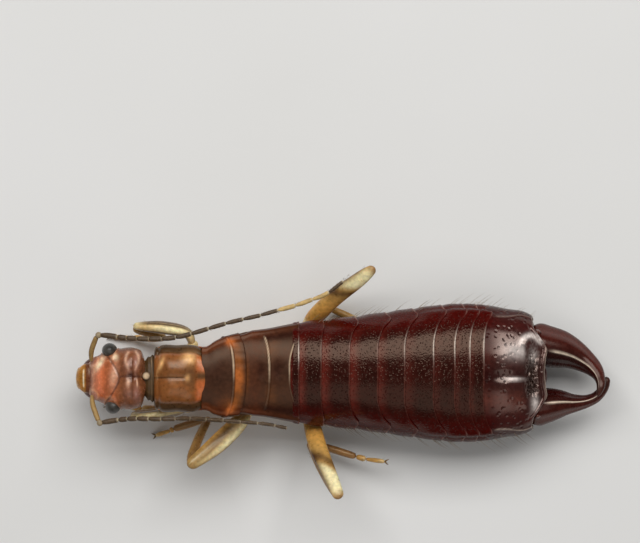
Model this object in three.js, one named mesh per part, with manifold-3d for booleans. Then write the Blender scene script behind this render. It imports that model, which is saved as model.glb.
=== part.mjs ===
// A ring-legged earwig, an adult male of a wingless kind, at its real size and at rest on the floor.
// Millimetres, +Z up, +X from the head to the forceps, +Y to the animal's right side.

import * as THREE from "three";
import { mergeVertices } from "three/addons/utils/BufferGeometryUtils.js";
import Module from "manifold-3d";

const wasm = await Module();
wasm.setup();

// The gap that parts keep where they meet, small as the animal is
const gap = 0.1;

// Lengths along the body, from the lip to the tips of the forceps
const headFront = 0.3;
const headRear = 2.22;
const pronotumFront = 2.5;
const pronotumRear = 4.06;
const mesothoraxRear = 5.3;
const metathoraxRear = 6.5;
const tergiteLengths = [0.44, 0.72, 0.87, 0.88, 0.84, 0.91, 0.65, 0.47, 0.42];
const lastTergiteRear = 14.58;

// Heads and front plates lie a little to the left of the line of the abdomen
const frontLean = -0.17;
const leanEnd = 5.6;

// Plates: how far a rear edge stands above the next plate
const plateLip = 0.07;
const thoraxLip = 0.05;

// Colours of the real surfaces
const finish = {
  mahogany: { color: "#4d1a14", roughness: 0.38 },
  glossyMahogany: { color: "#3f110c", roughness: 0.22 },
  orangeBrown: { color: "#a9683a", roughness: 0.4 },
  darkBrown: { color: "#5b3322", roughness: 0.45 },
  redBrown: { color: "#a04a28", roughness: 0.32 },
  paleYellow: { color: "#dcb96e", roughness: 0.45 },
  legYellow: { color: "#d8b981", roughness: 0.42 },
  greyBrown: { color: "#7d6653", roughness: 0.55 },
  eyeGrey: { color: "#4f5654", roughness: 0.3 },
  membrane: { color: "#b59a7c", roughness: 0.6 },
};

// Limbs: the turn that earns a ring of its own, and the least room between two rings
const bendStep = 0.42;
const ringSpacing = 0.07;

// Joints: how far a piece runs straight on, and where a folded one turns back, ahead of the joint and aside
const jointLead = 0.12;
const jointAhead = 0.3;
const jointAside = 0.58;

const earwig = new THREE.Group();
const at = (x, y, z) => new THREE.Vector3(x, y, z);

// A curve of values through a few knots, each one a place and its value
function profile(knots) {
  const places = knots.map(([place]) => place);
  const values = knots.map(([, value]) => value);
  const curve = new THREE.CubicInterpolant(places, values, 1);
  return (place) => curve.evaluate(place)[0];
}

// A smooth step from 0 at one place to 1 at another
const fade = (value, from, to) => THREE.MathUtils.smoothstep(value, from, to);

// A soft bump of height 1 round one place
const bump = (value, place, width) => Math.exp(-(((value - place) / width) ** 2));

// Moves every vertex of a shape
function reshape(geometry, place) {
  const position = geometry.attributes.position;
  const point = new THREE.Vector3();
  for (let i = 0; i < position.count; i += 1) {
    point.fromBufferAttribute(position, i);
    place(point);
    position.setXYZ(i, point.x, point.y, point.z);
  }
  return geometry;
}

// Shares of a curve's length where it has turned by a step
function bends(curve) {
  const places = [];
  let last = curve.getTangentAt(0);
  for (let share = 0.01; share < 1; share += 0.01) {
    const tangent = curve.getTangentAt(share);
    if (tangent.angleTo(last) > bendStep) {
      places.push(share);
      last = tangent;
    }
  }
  return places;
}

// Flattens what would reach below the floor
const settle = (geometry) => reshape(geometry, (point) => point.setZ(Math.max(point.z, 0)));

// A closed form through rings at the given stations
function loft(stations, sides, place) {
  const rows = stations.length - 1;
  const tube = new THREE.CylinderGeometry(1, 1, rows, sides, rows);
  return reshape(tube, (point) => {
    const station = stations[Math.round(point.y + rows / 2)];
    const spread = Math.hypot(point.x, point.z);
    const angle = Math.atan2(point.z, -point.x);
    place(point, station, angle, spread);
  });
}

// A limb along a route: its girth is a list of shares of its length, each with a radius.
// The root and tip faces are the given shares of the end radii, and a bend gets rings of its own.
function limb(route, girth, { sides = 10, deep = 1, root = 0.8, tip = 0.8, grow = 0 } = {}) {
  const curve = route.length > 2 ? new THREE.CatmullRomCurve3(route) : new THREE.LineCurve3(...route);
  const length = curve.getLength();
  const places = girth.map(([share]) => share);
  const radii = new THREE.LinearInterpolant(places, girth.map(([, value]) => value), 1);
  const radius = (share) => radii.evaluate(share)[0];
  const rootRound = (0.35 * radius(0)) / length;
  const tipRound = 1 - (0.35 * radius(1)) / length;
  const shares = [rootRound, ...girth.slice(1, -1).map(([share]) => share), ...bends(curve), tipRound];
  shares.sort((a, b) => a - b);
  const spaced = shares.filter((share, i) => share >= rootRound && share <= tipRound
    && (i === 0 || share === tipRound || share - shares[i - 1] > ringSpacing / length));
  const rings = [
    { share: 0, radius: root * radius(0), push: -grow },
    ...spaced.map((share) => ({ share, radius: radius(share), push: 0 })),
    { share: 1, radius: tip * radius(1), push: grow },
  ];
  let rise = new THREE.Vector3(0, 0, 1);
  for (const ring of rings) {
    ring.tangent = curve.getTangentAt(ring.share);
    rise = rise.clone().addScaledVector(ring.tangent, -rise.dot(ring.tangent)).normalize();
    ring.rise = rise;
    ring.side = rise.clone().cross(ring.tangent);
    ring.centre = curve.getPointAt(ring.share).addScaledVector(ring.tangent, ring.push);
  }
  return loft(rings, sides, (point, ring, angle, spread) => {
    const reach = (ring.radius + grow) * spread;
    point.copy(ring.centre);
    point.addScaledVector(ring.side, reach * Math.cos(angle));
    point.addScaledVector(ring.rise, reach * Math.sin(angle) * deep);
  });
}

// A rounded lump of the given half sizes, squarer than a ball where square is under 1
function pebble(centre, size, { square = 1, tilt = 0, grow = 0 } = {}) {
  const ball = new THREE.SphereGeometry(1, 14, 9);
  ball.rotateX(Math.PI / 2);
  const shaped = (value, half) => Math.sign(value) * Math.abs(value) ** square * (half + grow);
  reshape(ball, (point) => point.set(
    shaped(point.x, size[0]),
    shaped(point.y, size[1]),
    shaped(point.z, size[2]),
  ));
  return ball.rotateY(tilt).translate(...centre);
}

// A closed mesh as a solid for joining and cutting
function toSolid(geometry) {
  const bare = geometry.clone();
  bare.deleteAttribute("normal");
  bare.deleteAttribute("uv");
  const merged = mergeVertices(bare, 1e-5);
  const vertProperties = Float32Array.from(merged.attributes.position.array);
  const triVerts = Uint32Array.from(merged.index.array);
  return new wasm.Manifold(new wasm.Mesh({ numProp: 3, vertProperties, triVerts }));
}

// A shape with sockets cut into it, of which the largest closed body is kept
function withSockets(geometry, sockets) {
  const cut = sockets.reduce((rest, socket) => rest.subtract(toSolid(socket)), toSolid(geometry));
  const bodies = cut.decompose().sort((a, b) => b.volume() - a.volume());
  const mesh = bodies[0].getMesh();
  const result = new THREE.BufferGeometry();
  result.setAttribute("position", new THREE.BufferAttribute(Float32Array.from(mesh.vertProperties), 3));
  result.setIndex(new THREE.BufferAttribute(Uint32Array.from(mesh.triVerts), 1));
  return result;
}

// Adds one named part in its finish
function add(name, geometry, look) {
  geometry.computeVertexNormals();
  const mesh = new THREE.Mesh(geometry, new THREE.MeshStandardMaterial({ metalness: 0, ...look }));
  mesh.name = name;
  earwig.add(mesh);
}

// Trunk outline: half width, top, underside and the level of the widest part, by place along the body
const trunkHalf = profile([
  [4.1, 0.98], [4.5, 1.16], [5.2, 1.27], [5.9, 1.35], [6.9, 1.54], [8.3, 1.68], [9.5, 1.83],
  [10.8, 2.01], [11.8, 2.11], [12.7, 2.08], [13.4, 1.95], [14.1, 1.8], [14.6, 1.42],
]);
const trunkTop = profile([
  [2.5, 2.68], [3.0, 2.86], [3.7, 2.78], [4.6, 2.71], [6.0, 2.58], [7.0, 2.54], [8.3, 2.66],
  [9.8, 2.71], [11.4, 2.67], [12.7, 2.48], [13.9, 2.2], [14.6, 1.78],
]);
const trunkBottom = profile([
  [2.5, 1.3], [3.5, 1.12], [4.2, 1.04], [4.9, 0.78], [5.8, 0.48], [6.5, 0.3], [7.7, 0.26], [9.5, 0.14],
  [11.1, -0.02], [12.5, -0.02], [13.1, 0.12], [14.0, 0.32], [14.6, 0.62],
]);
const trunkLevel = profile([
  [2.5, 2.38], [4.1, 2.3], [5.3, 2.1], [6.5, 1.7], [7.5, 1.35], [10.0, 1.2], [14.6, 1.15],
]);
const pronotumHalf = profile([[2.5, 0.82], [2.7, 0.95], [3.2, 1.0], [3.7, 1.02], [3.95, 0.95], [4.06, 0.8]]);

// Below its side edges the thorax is much narrower than its plates, the abdomen hardly
const underHalf = profile([[2.5, 0.55], [4.1, 0.62], [5.3, 0.68], [6.3, 0.95], [7.2, 1.42], [8.3, 1.6]]);
const lean = (x) => frontLean * (1 - fade(x, pronotumRear, leanEnd));

// Where a plate's rear edge lies behind its middle, by the angle from the top of the back
const edgeSlant = profile([[0, 0], [0.6, 0.02], [1.0, 0.46], [1.25, 0.3], [1.9, 0.2], [Math.PI, 0.12]]);

// One point of the trunk's skin, where angle 0 is the right side and a quarter turn is the top
function trunkPoint(point, x, angle, spread, half, raise) {
  const out = Math.cos(angle);
  const up = Math.sin(angle);
  const level = trunkLevel(x);
  const edge = bump(up, 0, 0.3);
  const belly = Math.min(underHalf(x), half * 0.95);
  const width = up > 0 ? half : belly + (half - belly) * edge;
  const height = up > 0 ? trunkTop(x) - level : level - trunkBottom(x);
  const y = Math.sign(out) * Math.abs(out) ** 0.85 * width + out * raise;
  const z = Math.sign(up) * Math.abs(up) ** 0.88 * height + up * raise;
  point.set(x, lean(x) + spread * y, level + spread * z);
}

// Rings of a run of plates that each rise to a raised rear edge
function plateStations(front, lengths, lip) {
  const stations = [];
  let start = front;
  for (const length of lengths) {
    for (const [share, rise] of [[0.05, 0], [0.45, 0.35], [0.85, 0.9], [1, 1]]) {
      stations.push({ x: start + share * length, raise: rise * lip });
    }
    start += length;
  }
  return stations;
}

// The first points of a piece that leaves the last one face to face and turns towards its target
function turn(joint, heading, target) {
  const toward = target.clone().sub(joint).normalize();
  const across = toward.clone().addScaledVector(heading, -toward.dot(heading)).normalize();
  const ahead = (along, aside) => (
    joint.clone().addScaledVector(heading, along).addScaledVector(across, aside)
  );
  const lead = [ahead(gap / 2, 0), ahead(jointLead, 0)];
  const alike = toward.dot(heading);
  if (alike > 0.6) {
    return lead;
  }
  if (alike > -0.45) {
    return [...lead, ahead(jointAhead, jointAside * 0.16)];
  }
  return [...lead, ahead(jointAhead, jointAside * 0.45), ahead(jointAhead * 0.4, jointAside)];
}

// The routes of a chain of pieces, each of which ends at the joint to the next
function chain(pieces) {
  const routes = [];
  let joint;
  let heading;
  for (const stops of pieces) {
    const points = joint ? [...turn(joint, heading, stops[0]), ...stops] : stops;
    const last = points.at(-1);
    heading = last.clone().sub(points.at(-2)).normalize();
    joint = last;
    routes.push([...points.slice(0, -1), last.clone().addScaledVector(heading, -gap / 2)]);
  }
  return routes;
}

// Legs: hip and trochanter, then knee, ankle, and the points of the foot
const legs = {
  fore_left: [
    [at(3.97, -0.42, 1.7), at(3.58, -0.98, 1.3)],
    [at(1.98, -1.36, 1.52)],
    [at(2.82, -1.02, 0.62)],
    [at(2.2, -0.92, 0.24), at(1.44, -0.89, 0.18), at(0.88, -0.87, 0.1)],
  ],
  fore_right: [
    [at(3.97, 0.08, 1.7), at(3.64, 0.66, 1.34)],
    [at(1.96, 1.38, 1.44)],
    [at(2.78, 1.3, 0.62)],
    [at(2.1, 1.42, 0.24), at(1.4, 1.56, 0.18), at(0.84, 1.73, 0.1)],
  ],
  mid_left: [
    [at(5.06, -0.72, 0.95), at(5.36, -1.24, 1.14)],
    [at(3.76, -2.7, 2.12)],
    [at(4.1, -1.62, 0.7)],
    [at(3.25, -1.76, 0.26), at(2.62, -1.98, 0.09)],
  ],
  mid_right: [
    [at(5.2, 0.42, 1.06), at(5.6, 0.84, 0.84)],
    [at(4.3, 1.06, 1.14)],
    [at(5.2, 1.36, 0.26)],
    [at(5.95, 1.46, 0.19), at(6.6, 1.62, 0.1)],
  ],
  hind_left: [
    [at(6.69, -0.7, 0.64), at(7.12, -1.24, 0.2)],
    [at(8.07, -3.36, 2.6)],
    [at(7.42, -2.62, 0.56)],
    [at(8.4, -2.64, 0.48), at(8.94, -2.68, 0.66), at(9.75, -2.77, 1.02)],
  ],
  hind_right: [
    [at(6.69, 0.7, 0.64), at(7.12, 1.22, 0.2)],
    [at(9.05, 3.2, 2.36)],
    [at(8.32, 1.94, 0.5)],
    [at(8.94, 1.8, 0.2), at(9.75, 1.72, 0.12)],
  ],
};
for (const name of Object.keys(legs)) {
  legs[name] = chain(legs[name]);
}

// Leg girths, from the root of a piece to its tip
const coxaGirth = [[0, 0.26], [0.5, 0.36], [1, 0.26]];
const femurGirth = [[0, 0.2], [0.3, 0.31], [0.7, 0.27], [1, 0.22]];
const tibiaGirth = [[0, 0.19], [0.5, 0.25], [1, 0.2]];
const tarsusGirth = [
  [0, 0.18], [0.3, 0.22], [0.44, 0.15], [0.54, 0.2], [0.63, 0.14], [0.8, 0.17], [1, 0.08],
];

// Head outline, by place along it
const headHalf = profile([
  [0.3, 0.48], [0.55, 0.64], [0.9, 0.8], [1.4, 0.95], [1.85, 0.95], [2.1, 0.8], [2.22, 0.58],
]);
const headTop = profile([[0.3, 1.86], [0.55, 2.08], [1.0, 2.5], [1.45, 2.72], [1.9, 2.84], [2.22, 2.72]]);
const headBottom = profile([[0.3, 1.56], [0.8, 1.5], [1.4, 1.6], [1.9, 1.74], [2.22, 1.98]]);

// Parts set on the head, given as what side they are on and whether grown for their socket
const eyeSize = [0.24, 0.25, 0.35];
const eye = (side, grow = 0) => pebble([1.2, frontLean + side * 0.85, 2.1], eyeSize, { grow });

const scapeGirth = [[0, 0.2], [0.4, 0.24], [1, 0.19]];
const scapeRoute = {
  left: [at(0.62, -0.66, 1.98), at(0.7, -1.5, 2.6)],
  right: [at(0.62, 0.34, 1.98), at(0.68, 1.16, 2.6)],
};

const mandibleGirth = [[0, 0.17], [0.5, 0.18], [1, 0.06]];
const mandible = (side, grow = 0) => limb(
  [
    at(0.95, frontLean + side * 0.42, 1.55),
    at(0.5, frontLean + side * 0.36, 1.28),
    at(0.32, frontLean + side * 0.1, 1.12),
  ],
  mandibleGirth,
  { sides: 8, grow },
);

const maxillaGirth = [[0, 0.16], [0.25, 0.2], [0.5, 0.15], [0.65, 0.17], [0.8, 0.12], [1, 0.07]];
const maxilla = (side, grow = 0) => limb(
  [
    at(1.62, frontLean + side * 0.42, 1.62),
    at(1.15, frontLean + side * 0.5, 1.28),
    at(0.8, frontLean + side * 0.52, 0.98),
    at(0.55, frontLean + side * 0.42, 0.66),
  ],
  maxillaGirth,
  { sides: 8, grow },
);

const labiumGirth = [[0, 0.16], [0.3, 0.19], [0.7, 0.16], [1, 0.1]];
const labium = (grow = 0) => limb(
  [at(1.55, frontLean, 1.62), at(1.1, frontLean, 1.2), at(0.72, frontLean, 0.86)],
  labiumGirth,
  { sides: 8, grow },
);

const neckGirth = [[0, 0.42], [0.5, 0.44], [1, 0.42]];
const neck = (grow = 0) => limb(
  [at(1.95, frontLean, 2.26), at(2.85, frontLean, 2.18)],
  neckGirth,
  { sides: 14, deep: 0.85, grow },
);

// Front lip: the clypeus above and the labrum hanging from it
const clypeusSize = [0.14, 0.42, 0.17];
const clypeusTilt = { square: 0.8, tilt: 0.6 };
const clypeus = (grow = 0) => pebble([0.22, frontLean, 1.7], clypeusSize, { ...clypeusTilt, grow });
const labrum = (grow = 0) => pebble([0.12, frontLean, 1.17], [0.1, 0.37, 0.29], { square: 0.75, grow });

// Head capsule with a socket for each part that it carries
function headCapsule() {
  const shares = [0, 0.06, 0.16, 0.3, 0.46, 0.62, 0.78, 0.9, 1];
  const stations = shares.map((share) => headFront + share * (headRear - headFront));
  const capsule = loft(stations, 24, (point, x, angle, spread) => {
    const middle = (headTop(x) + headBottom(x)) / 2;
    const height = (headTop(x) - headBottom(x)) / 2;
    const out = Math.cos(angle);
    const up = Math.sin(angle);
    const y = Math.sign(out) * Math.abs(out) ** 0.85 * headHalf(x);
    const z = Math.sign(up) * Math.abs(up) ** 0.9 * height;
    point.set(x, frontLean + spread * y, middle + spread * z);
  });
  const sockets = [neck(gap), labium(gap), clypeus(gap)];
  for (const [name, side] of [["left", -1], ["right", 1]]) {
    sockets.push(eye(side, gap));
    sockets.push(limb(scapeRoute[name], scapeGirth, { grow: gap }));
    sockets.push(mandible(side, gap));
    sockets.push(maxilla(side, gap));
  }
  return withSockets(capsule, sockets);
}

add("head", headCapsule(), finish.redBrown);
add("clypeus", clypeus(), finish.paleYellow);
add("labrum", labrum(), finish.paleYellow);
add("labium", labium(), finish.orangeBrown);
add("neck", neck(), finish.membrane);
for (const [name, side] of [["left", -1], ["right", 1]]) {
  add(`eye_${name}`, eye(side), finish.eyeGrey);
  add(`mandible_${name}`, mandible(side), finish.darkBrown);
  add(`maxilla_${name}`, maxilla(side), finish.orangeBrown);
}

// Antennae: a scape, and a flagellum of ring-like segments in three lengths
const flagellumStops = {
  left: [
    at(1.3, -1.46, 2.94), at(1.9, -1.42, 3.04), at(2.6, -1.42, 3.1), at(3.3, -1.44, 3.04),
    at(3.8, -1.5, 2.84), at(4.5, -1.62, 2.52), at(5.3, -1.7, 2.2), at(6.1, -1.8, 1.94), at(6.9, -2.0, 1.8),
  ],
  right: [
    at(1.4, 1.2, 2.84), at(1.9, 1.16, 2.8), at(2.7, 1.18, 2.76), at(3.6, 1.28, 2.72),
    at(4.66, 1.52, 2.66), at(5.75, 1.78, 2.62), at(6.9, 2.12, 2.58), at(7.78, 2.46, 2.56),
    at(8.56, 2.88, 2.58),
  ],
};
const flagellumSplits = [0, 0.36, 0.68, 1];
const segmentsPerLength = 5;
const segmentJoint = 0.19;
const segmentBelly = 0.235;
const flagellumTip = 0.08;

function flagellumLength(route, index) {
  const curve = new THREE.CatmullRomCurve3(route);
  const total = curve.getLength();
  const start = flagellumSplits[index] + (index > 0 ? gap / 2 / total : 0);
  const end = flagellumSplits[index + 1] - (index < 2 ? gap / 2 / total : 0);
  const stops = [];
  for (let i = 0; i <= 8; i += 1) {
    stops.push(curve.getPointAt(start + ((end - start) * i) / 8));
  }
  const girth = [];
  for (let i = 0; i < segmentsPerLength; i += 1) {
    const taper = index === 2 ? 1 - 0.55 * (i / segmentsPerLength) : 1;
    girth.push([i / segmentsPerLength, segmentJoint * taper]);
    girth.push([(i + 0.55) / segmentsPerLength, segmentBelly * taper]);
  }
  girth.push([1, index === 2 ? flagellumTip : segmentJoint]);
  return limb(stops, girth, { sides: 8 });
}

for (const [name, stops] of Object.entries(flagellumStops)) {
  const [scape, flagellum] = chain([scapeRoute[name], stops]);
  add(`antenna_${name}_scape`, limb(scape, scapeGirth), finish.paleYellow);
  for (let index = 0; index < 3; index += 1) {
    add(`antenna_${name}_flagellum_${index + 1}`, flagellumLength(flagellum, index), finish.greyBrown);
  }
}

// Leg pieces
const coxae = {};
for (const [name, [coxa, femur, tibia, tarsus]] of Object.entries(legs)) {
  coxae[name] = (grow = 0) => limb(coxa, coxaGirth, { grow });
  add(`coxa_${name}`, settle(coxae[name]()), finish.paleYellow);
  add(`femur_${name}`, settle(limb(femur, femurGirth)), finish.legYellow);
  add(`tibia_${name}`, limb(tibia, tibiaGirth, { sides: 8 }), finish.legYellow);
  add(`tarsus_${name}`, settle(limb(tarsus, tarsusGirth, { sides: 8 })), finish.paleYellow);
}

// Thorax: three rings of plates, with sockets for the neck and the legs
const prothoraxShares = [0, 0.06, 0.2, 0.45, 0.7, 0.88, 0.96, 1];
const prothorax = loft(
  prothoraxShares.map((share) => pronotumFront + share * (pronotumRear - pronotumFront)),
  28,
  (point, x, angle, spread) => trunkPoint(point, x, angle, spread, pronotumHalf(x), 0),
);
add(
  "prothorax",
  withSockets(prothorax, [neck(gap), coxae.fore_left(gap), coxae.fore_right(gap)]),
  finish.orangeBrown,
);

function trunkSection(stations, sides, slanted) {
  return loft(stations, sides, (point, station, angle, spread) => {
    const fromTop = Math.abs(Math.atan2(Math.cos(angle), Math.sin(angle)));
    const slant = slanted ? spread * edgeSlant(fromTop) * fade(station.x, metathoraxRear, 8.2) : 0;
    const x = station.x + slant;
    trunkPoint(point, x, angle, spread, trunkHalf(x), station.raise);
  });
}

const mesothoraxLength = mesothoraxRear - pronotumRear - 2 * gap;
const mesothorax = trunkSection(
  plateStations(pronotumRear + gap, [mesothoraxLength * 0.72, mesothoraxLength * 0.28], thoraxLip),
  28,
  false,
);
add(
  "mesothorax",
  withSockets(mesothorax, [
    coxae.fore_left(gap), coxae.fore_right(gap), coxae.mid_left(gap), coxae.mid_right(gap),
  ]),
  finish.darkBrown,
);

const metathoraxLength = metathoraxRear - mesothoraxRear - gap;
const metathorax = trunkSection(
  plateStations(mesothoraxRear, [metathoraxLength * 0.62, metathoraxLength * 0.38], thoraxLip),
  28,
  false,
);
add(
  "metathorax",
  withSockets(metathorax, [
    coxae.mid_left(gap), coxae.mid_right(gap), coxae.hind_left(gap), coxae.hind_right(gap),
  ]),
  finish.darkBrown,
);

// Abdomen: nine overlapping segments, flat where the belly rests
const abdomenStations = plateStations(metathoraxRear, tergiteLengths, plateLip);
const abdomen = settle(trunkSection(abdomenStations, 32, true));
add("abdomen", withSockets(abdomen, [coxae.hind_left(gap), coxae.hind_right(gap)]), finish.mahogany);

// Last tergite: smooth, with a furrow along its middle and a lobe over each forceps arm
const lastTergiteFront = abdomenStations.at(-1).x + gap;
const lastShares = [0, 0.1, 0.25, 0.4, 0.55, 0.7, 0.82, 0.92, 1];
const lastTergite = loft(
  lastShares.map((share) => lastTergiteFront + share * (lastTergiteRear - lastTergiteFront)),
  36,
  (point, station, angle, spread) => {
    const fromTop = Math.abs(Math.atan2(Math.cos(angle), Math.sin(angle)));
    const squareness = 1 - fade(station, lastTergiteFront, 13.8);
    const x = station + spread * edgeSlant(fromTop) * squareness;
    trunkPoint(point, x, angle, spread, trunkHalf(x), 0);
    if (Math.sin(angle) > 0) {
      const rear = fade(x, 13.3, 14.4);
      const furrow = 0.07 * bump(point.y, 0, 0.14) * fade(x, 12.9, 13.4);
      const hollow = 0.16 * bump(point.y, 0, 0.42) * rear;
      const lobes = 0.1 * (bump(point.y, 0.85, 0.4) + bump(point.y, -0.85, 0.4)) * rear;
      point.z += spread * (lobes - hollow - furrow);
    }
  },
);
add("last_tergite", settle(lastTergite), finish.glossyMahogany);

// Forceps: stout at the root and bent in at the tip, the right arm most, and it crosses over the left
const forcepsFront = lastTergiteRear + gap;
const forceps = {
  right: {
    route: [
      at(forcepsFront, 0.84, 1.22), at(14.95, 0.83, 1.22), at(15.6, 0.56, 1.18), at(15.95, 0.34, 1.24),
      at(16.2, 0.08, 1.34), at(16.34, -0.22, 1.46), at(16.36, -0.5, 1.54), at(16.28, -0.78, 1.56),
    ],
    girth: [[0, 0.64], [0.18, 0.58], [0.36, 0.42], [0.52, 0.3], [0.68, 0.22], [0.84, 0.16], [1, 0.06]],
    deep: 0.7,
  },
  left: {
    route: [
      at(forcepsFront, -1.02, 1.22), at(14.95, -1.01, 1.21), at(15.62, -0.9, 1.1), at(16.02, -0.84, 1.06),
      at(16.34, -0.7, 1.04), at(16.6, -0.44, 1.04), at(16.74, -0.1, 1.06),
    ],
    girth: [[0, 0.59], [0.2, 0.49], [0.4, 0.33], [0.56, 0.22], [0.72, 0.17], [0.86, 0.14], [1, 0.06]],
    deep: 0.76,
  },
};
for (const [name, { route, girth, deep }] of Object.entries(forceps)) {
  add(`forceps_${name}`, limb(route, girth, { sides: 12, deep, root: 0.96 }), finish.glossyMahogany);
}

// The origin is at the middle of the floor under the animal
const box = new THREE.Box3().setFromObject(earwig);
earwig.position.set(-(box.min.x + box.max.x) / 2, -(box.min.y + box.max.y) / 2, -box.min.z);

export default earwig;
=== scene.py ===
"""Looks of a ring-legged earwig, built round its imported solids.

Places are in millimetres: x from the lip to the tips of the forceps, y to the animal's right with 0 on the
middle of the abdomen, z up from the floor. They are turned into metres in the frame where a mesh is made.
"""

import math

import bmesh
import bpy
import mathutils
import numpy as np
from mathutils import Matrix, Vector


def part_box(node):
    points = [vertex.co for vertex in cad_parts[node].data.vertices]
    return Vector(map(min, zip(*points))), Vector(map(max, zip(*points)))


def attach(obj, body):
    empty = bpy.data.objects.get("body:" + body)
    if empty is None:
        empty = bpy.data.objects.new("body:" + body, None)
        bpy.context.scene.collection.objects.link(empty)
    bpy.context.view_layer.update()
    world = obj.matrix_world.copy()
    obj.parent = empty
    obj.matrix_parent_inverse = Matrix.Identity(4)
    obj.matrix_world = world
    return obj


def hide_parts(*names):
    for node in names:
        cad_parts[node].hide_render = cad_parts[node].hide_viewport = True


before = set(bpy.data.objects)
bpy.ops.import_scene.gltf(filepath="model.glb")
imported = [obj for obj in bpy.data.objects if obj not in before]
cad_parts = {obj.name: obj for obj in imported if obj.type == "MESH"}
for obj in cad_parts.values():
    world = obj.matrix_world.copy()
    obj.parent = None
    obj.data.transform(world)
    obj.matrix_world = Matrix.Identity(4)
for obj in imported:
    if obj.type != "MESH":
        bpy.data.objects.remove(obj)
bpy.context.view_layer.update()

# Where the abdomen's solid starts, which places the frame
ABDOMEN_FRONT = 6.522
MM = 0.001
abdomen_low, abdomen_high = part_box("abdomen")
ORIGIN = np.array([abdomen_low.x / MM - ABDOMEN_FRONT, (abdomen_low.y + abdomen_high.y) / 2 / MM, 0.0])
RANDOM = np.random.default_rng(7)

# Points closer than this become one, in metres, and nothing comes closer to the floor than the gap
WELD = 1.5e-7
FLOOR_GAP = 0.002

# Lengths along the body
PRONOTUM_FRONT = 2.47
PRONOTUM_REAR = 4.1
MESONOTUM_FRONT = 3.94
MESONOTUM_EDGE = 4.94
METANOTUM_FRONT = 5.1
METANOTUM_EDGE = 6.05
METANOTUM_REAR = 6.7
TERGITE_EDGES = [6.7, 6.98, 7.68, 8.56, 9.44, 10.28, 11.18, 11.84, 12.31, 12.74]
STERNITE_EDGES = [6.95, 8.09, 8.94, 9.78, 10.6, 11.4, 12.0, 12.6]
TAIL_FRONT = 12.5

# How far each plate reaches round the body from the middle of the back or the belly, as an angle
PRONOTUM_REACH = 1.66
WING_REACH = 1.5
TERGITE_REACH = 1.74
TAIL_REACH = 1.8
STERNITE_REACH = np.pi - 1.94
SUBGENITAL_REACH = 1.36

# How thick the plates are, and how far one of the abdomen lies under the next
PLATE_THICKNESS = 0.03
TAIL_THICKNESS = 0.07
SUBGENITAL_THICKNESS = 0.06
PRONOTUM_THICKNESS = 0.06
WING_THICKNESS = 0.05
SIDE_THICKNESS = 0.05
BREAST_THICKNESS = 0.06
OVERLAP = 0.22
PRONOTUM_LEVEL = 2.12

# The head and the front plates lie a little to the left of the abdomen's line
FRONT_LEAN = -0.17
EYE_SIZE = (0.24, 0.23, 0.345)
EYE_PLACE = (1.18, 0.87, 2.11)
# The right eye lies a little farther to the front
EYE_AHEAD = 0.1
SCAPE_ROOT = (0.55, 0.54, 2.05)

# Hairs of the abdomen: how many, the share of long ones, where they grow along and round the body, and
# each kind's shortest, longest and half width
BODY_HAIRS = 700
LONG_SHARE = 0.22
HAIRY_LENGTH = (7.2, 14.2)
HAIRY_ANGLES = (1.2, 2.6)
LONG_HAIR = (0.35, 0.6, 0.009)
SHORT_HAIR = (0.1, 0.28, 0.005)
# Hairs of a thigh, a shin, a foot and an antenna: how many, how far from the limb's middle, their shortest,
# longest and half width, and their row on the map of colours
THIGH_HAIRS = (36, 0.14, 0.08, 0.2, 0.007, 0.02)
SHIN_HAIRS = (44, 0.1, 0.08, 0.2, 0.007, 0.3)
FOOT_HAIRS = (60, 0.06, 0.06, 0.14, 0.006, 0.6)
ANTENNA_HAIRS = (420, 0.05, 0.05, 0.1, 0.005, 0.3)

# Places along a route where it is worked out, before a tube or an antenna takes its own from them, and
# where the hairs of a leg may grow
ROUTE_STATIONS = 400
WHIP_STATIONS = 900
HAIR_STATIONS = 60


def smooth(knots):
    """A smooth curve of values through a few knots, each a place and its value."""
    places, values = np.array(knots, float).T
    slopes = np.gradient(values, places)

    def value_at(place):
        place = np.clip(place, places[0], places[-1])
        i = np.clip(np.searchsorted(places, place, side="right") - 1, 0, len(places) - 2)
        width = places[i + 1] - places[i]
        t = (place - places[i]) / width
        rest = 1 - t
        start = values[i] * (1 + 2 * t) * rest**2 + slopes[i] * width * t * rest**2
        end = values[i + 1] * t**2 * (3 - 2 * t) - slopes[i + 1] * width * t**2 * rest
        return start + end

    return value_at


def fade(value, low, high):
    """A smooth step from 0 at one value to 1 at another."""
    t = np.clip((np.asarray(value, float) - low) / (high - low), 0, 1)
    return t * t * (3 - 2 * t)


def window(value, start, full, last, end):
    """A smooth rise from 0 to 1 and back to 0."""
    return fade(value, start, full) * fade(value, end, last)


def bump(*parts):
    """A soft bump of height 1, of one or more values, each followed by its place and width."""
    return np.exp(-sum(((parts[i] - parts[i + 1]) / parts[i + 2]) ** 2 for i in range(0, len(parts), 3)))


def power(value, exponent):
    """A power that keeps the sign."""
    return np.sign(value) * np.abs(value) ** exponent


def unit(vectors):
    """Vectors at length 1."""
    return vectors / np.maximum(np.linalg.norm(vectors, axis=-1, keepdims=True), 1e-12)


def around(angle, place):
    """How far an angle is from a place, the short way round."""
    return np.abs(np.angle(np.exp(1j * (angle - place))))


def stripe(angle, place, width, *more):
    """A soft bump along one side of a limb, at an angle round it, narrowed by further values if given."""
    return bump(around(angle, place), 0, width, *more)


def grid(first, second):
    """Two rows of values spread over a grid."""
    return np.meshgrid(first, second, indexing="ij")


def turns(count):
    """Evenly spaced angles all the way round."""
    return np.linspace(0, 2 * np.pi, count, endpoint=False)


# Meshes

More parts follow.
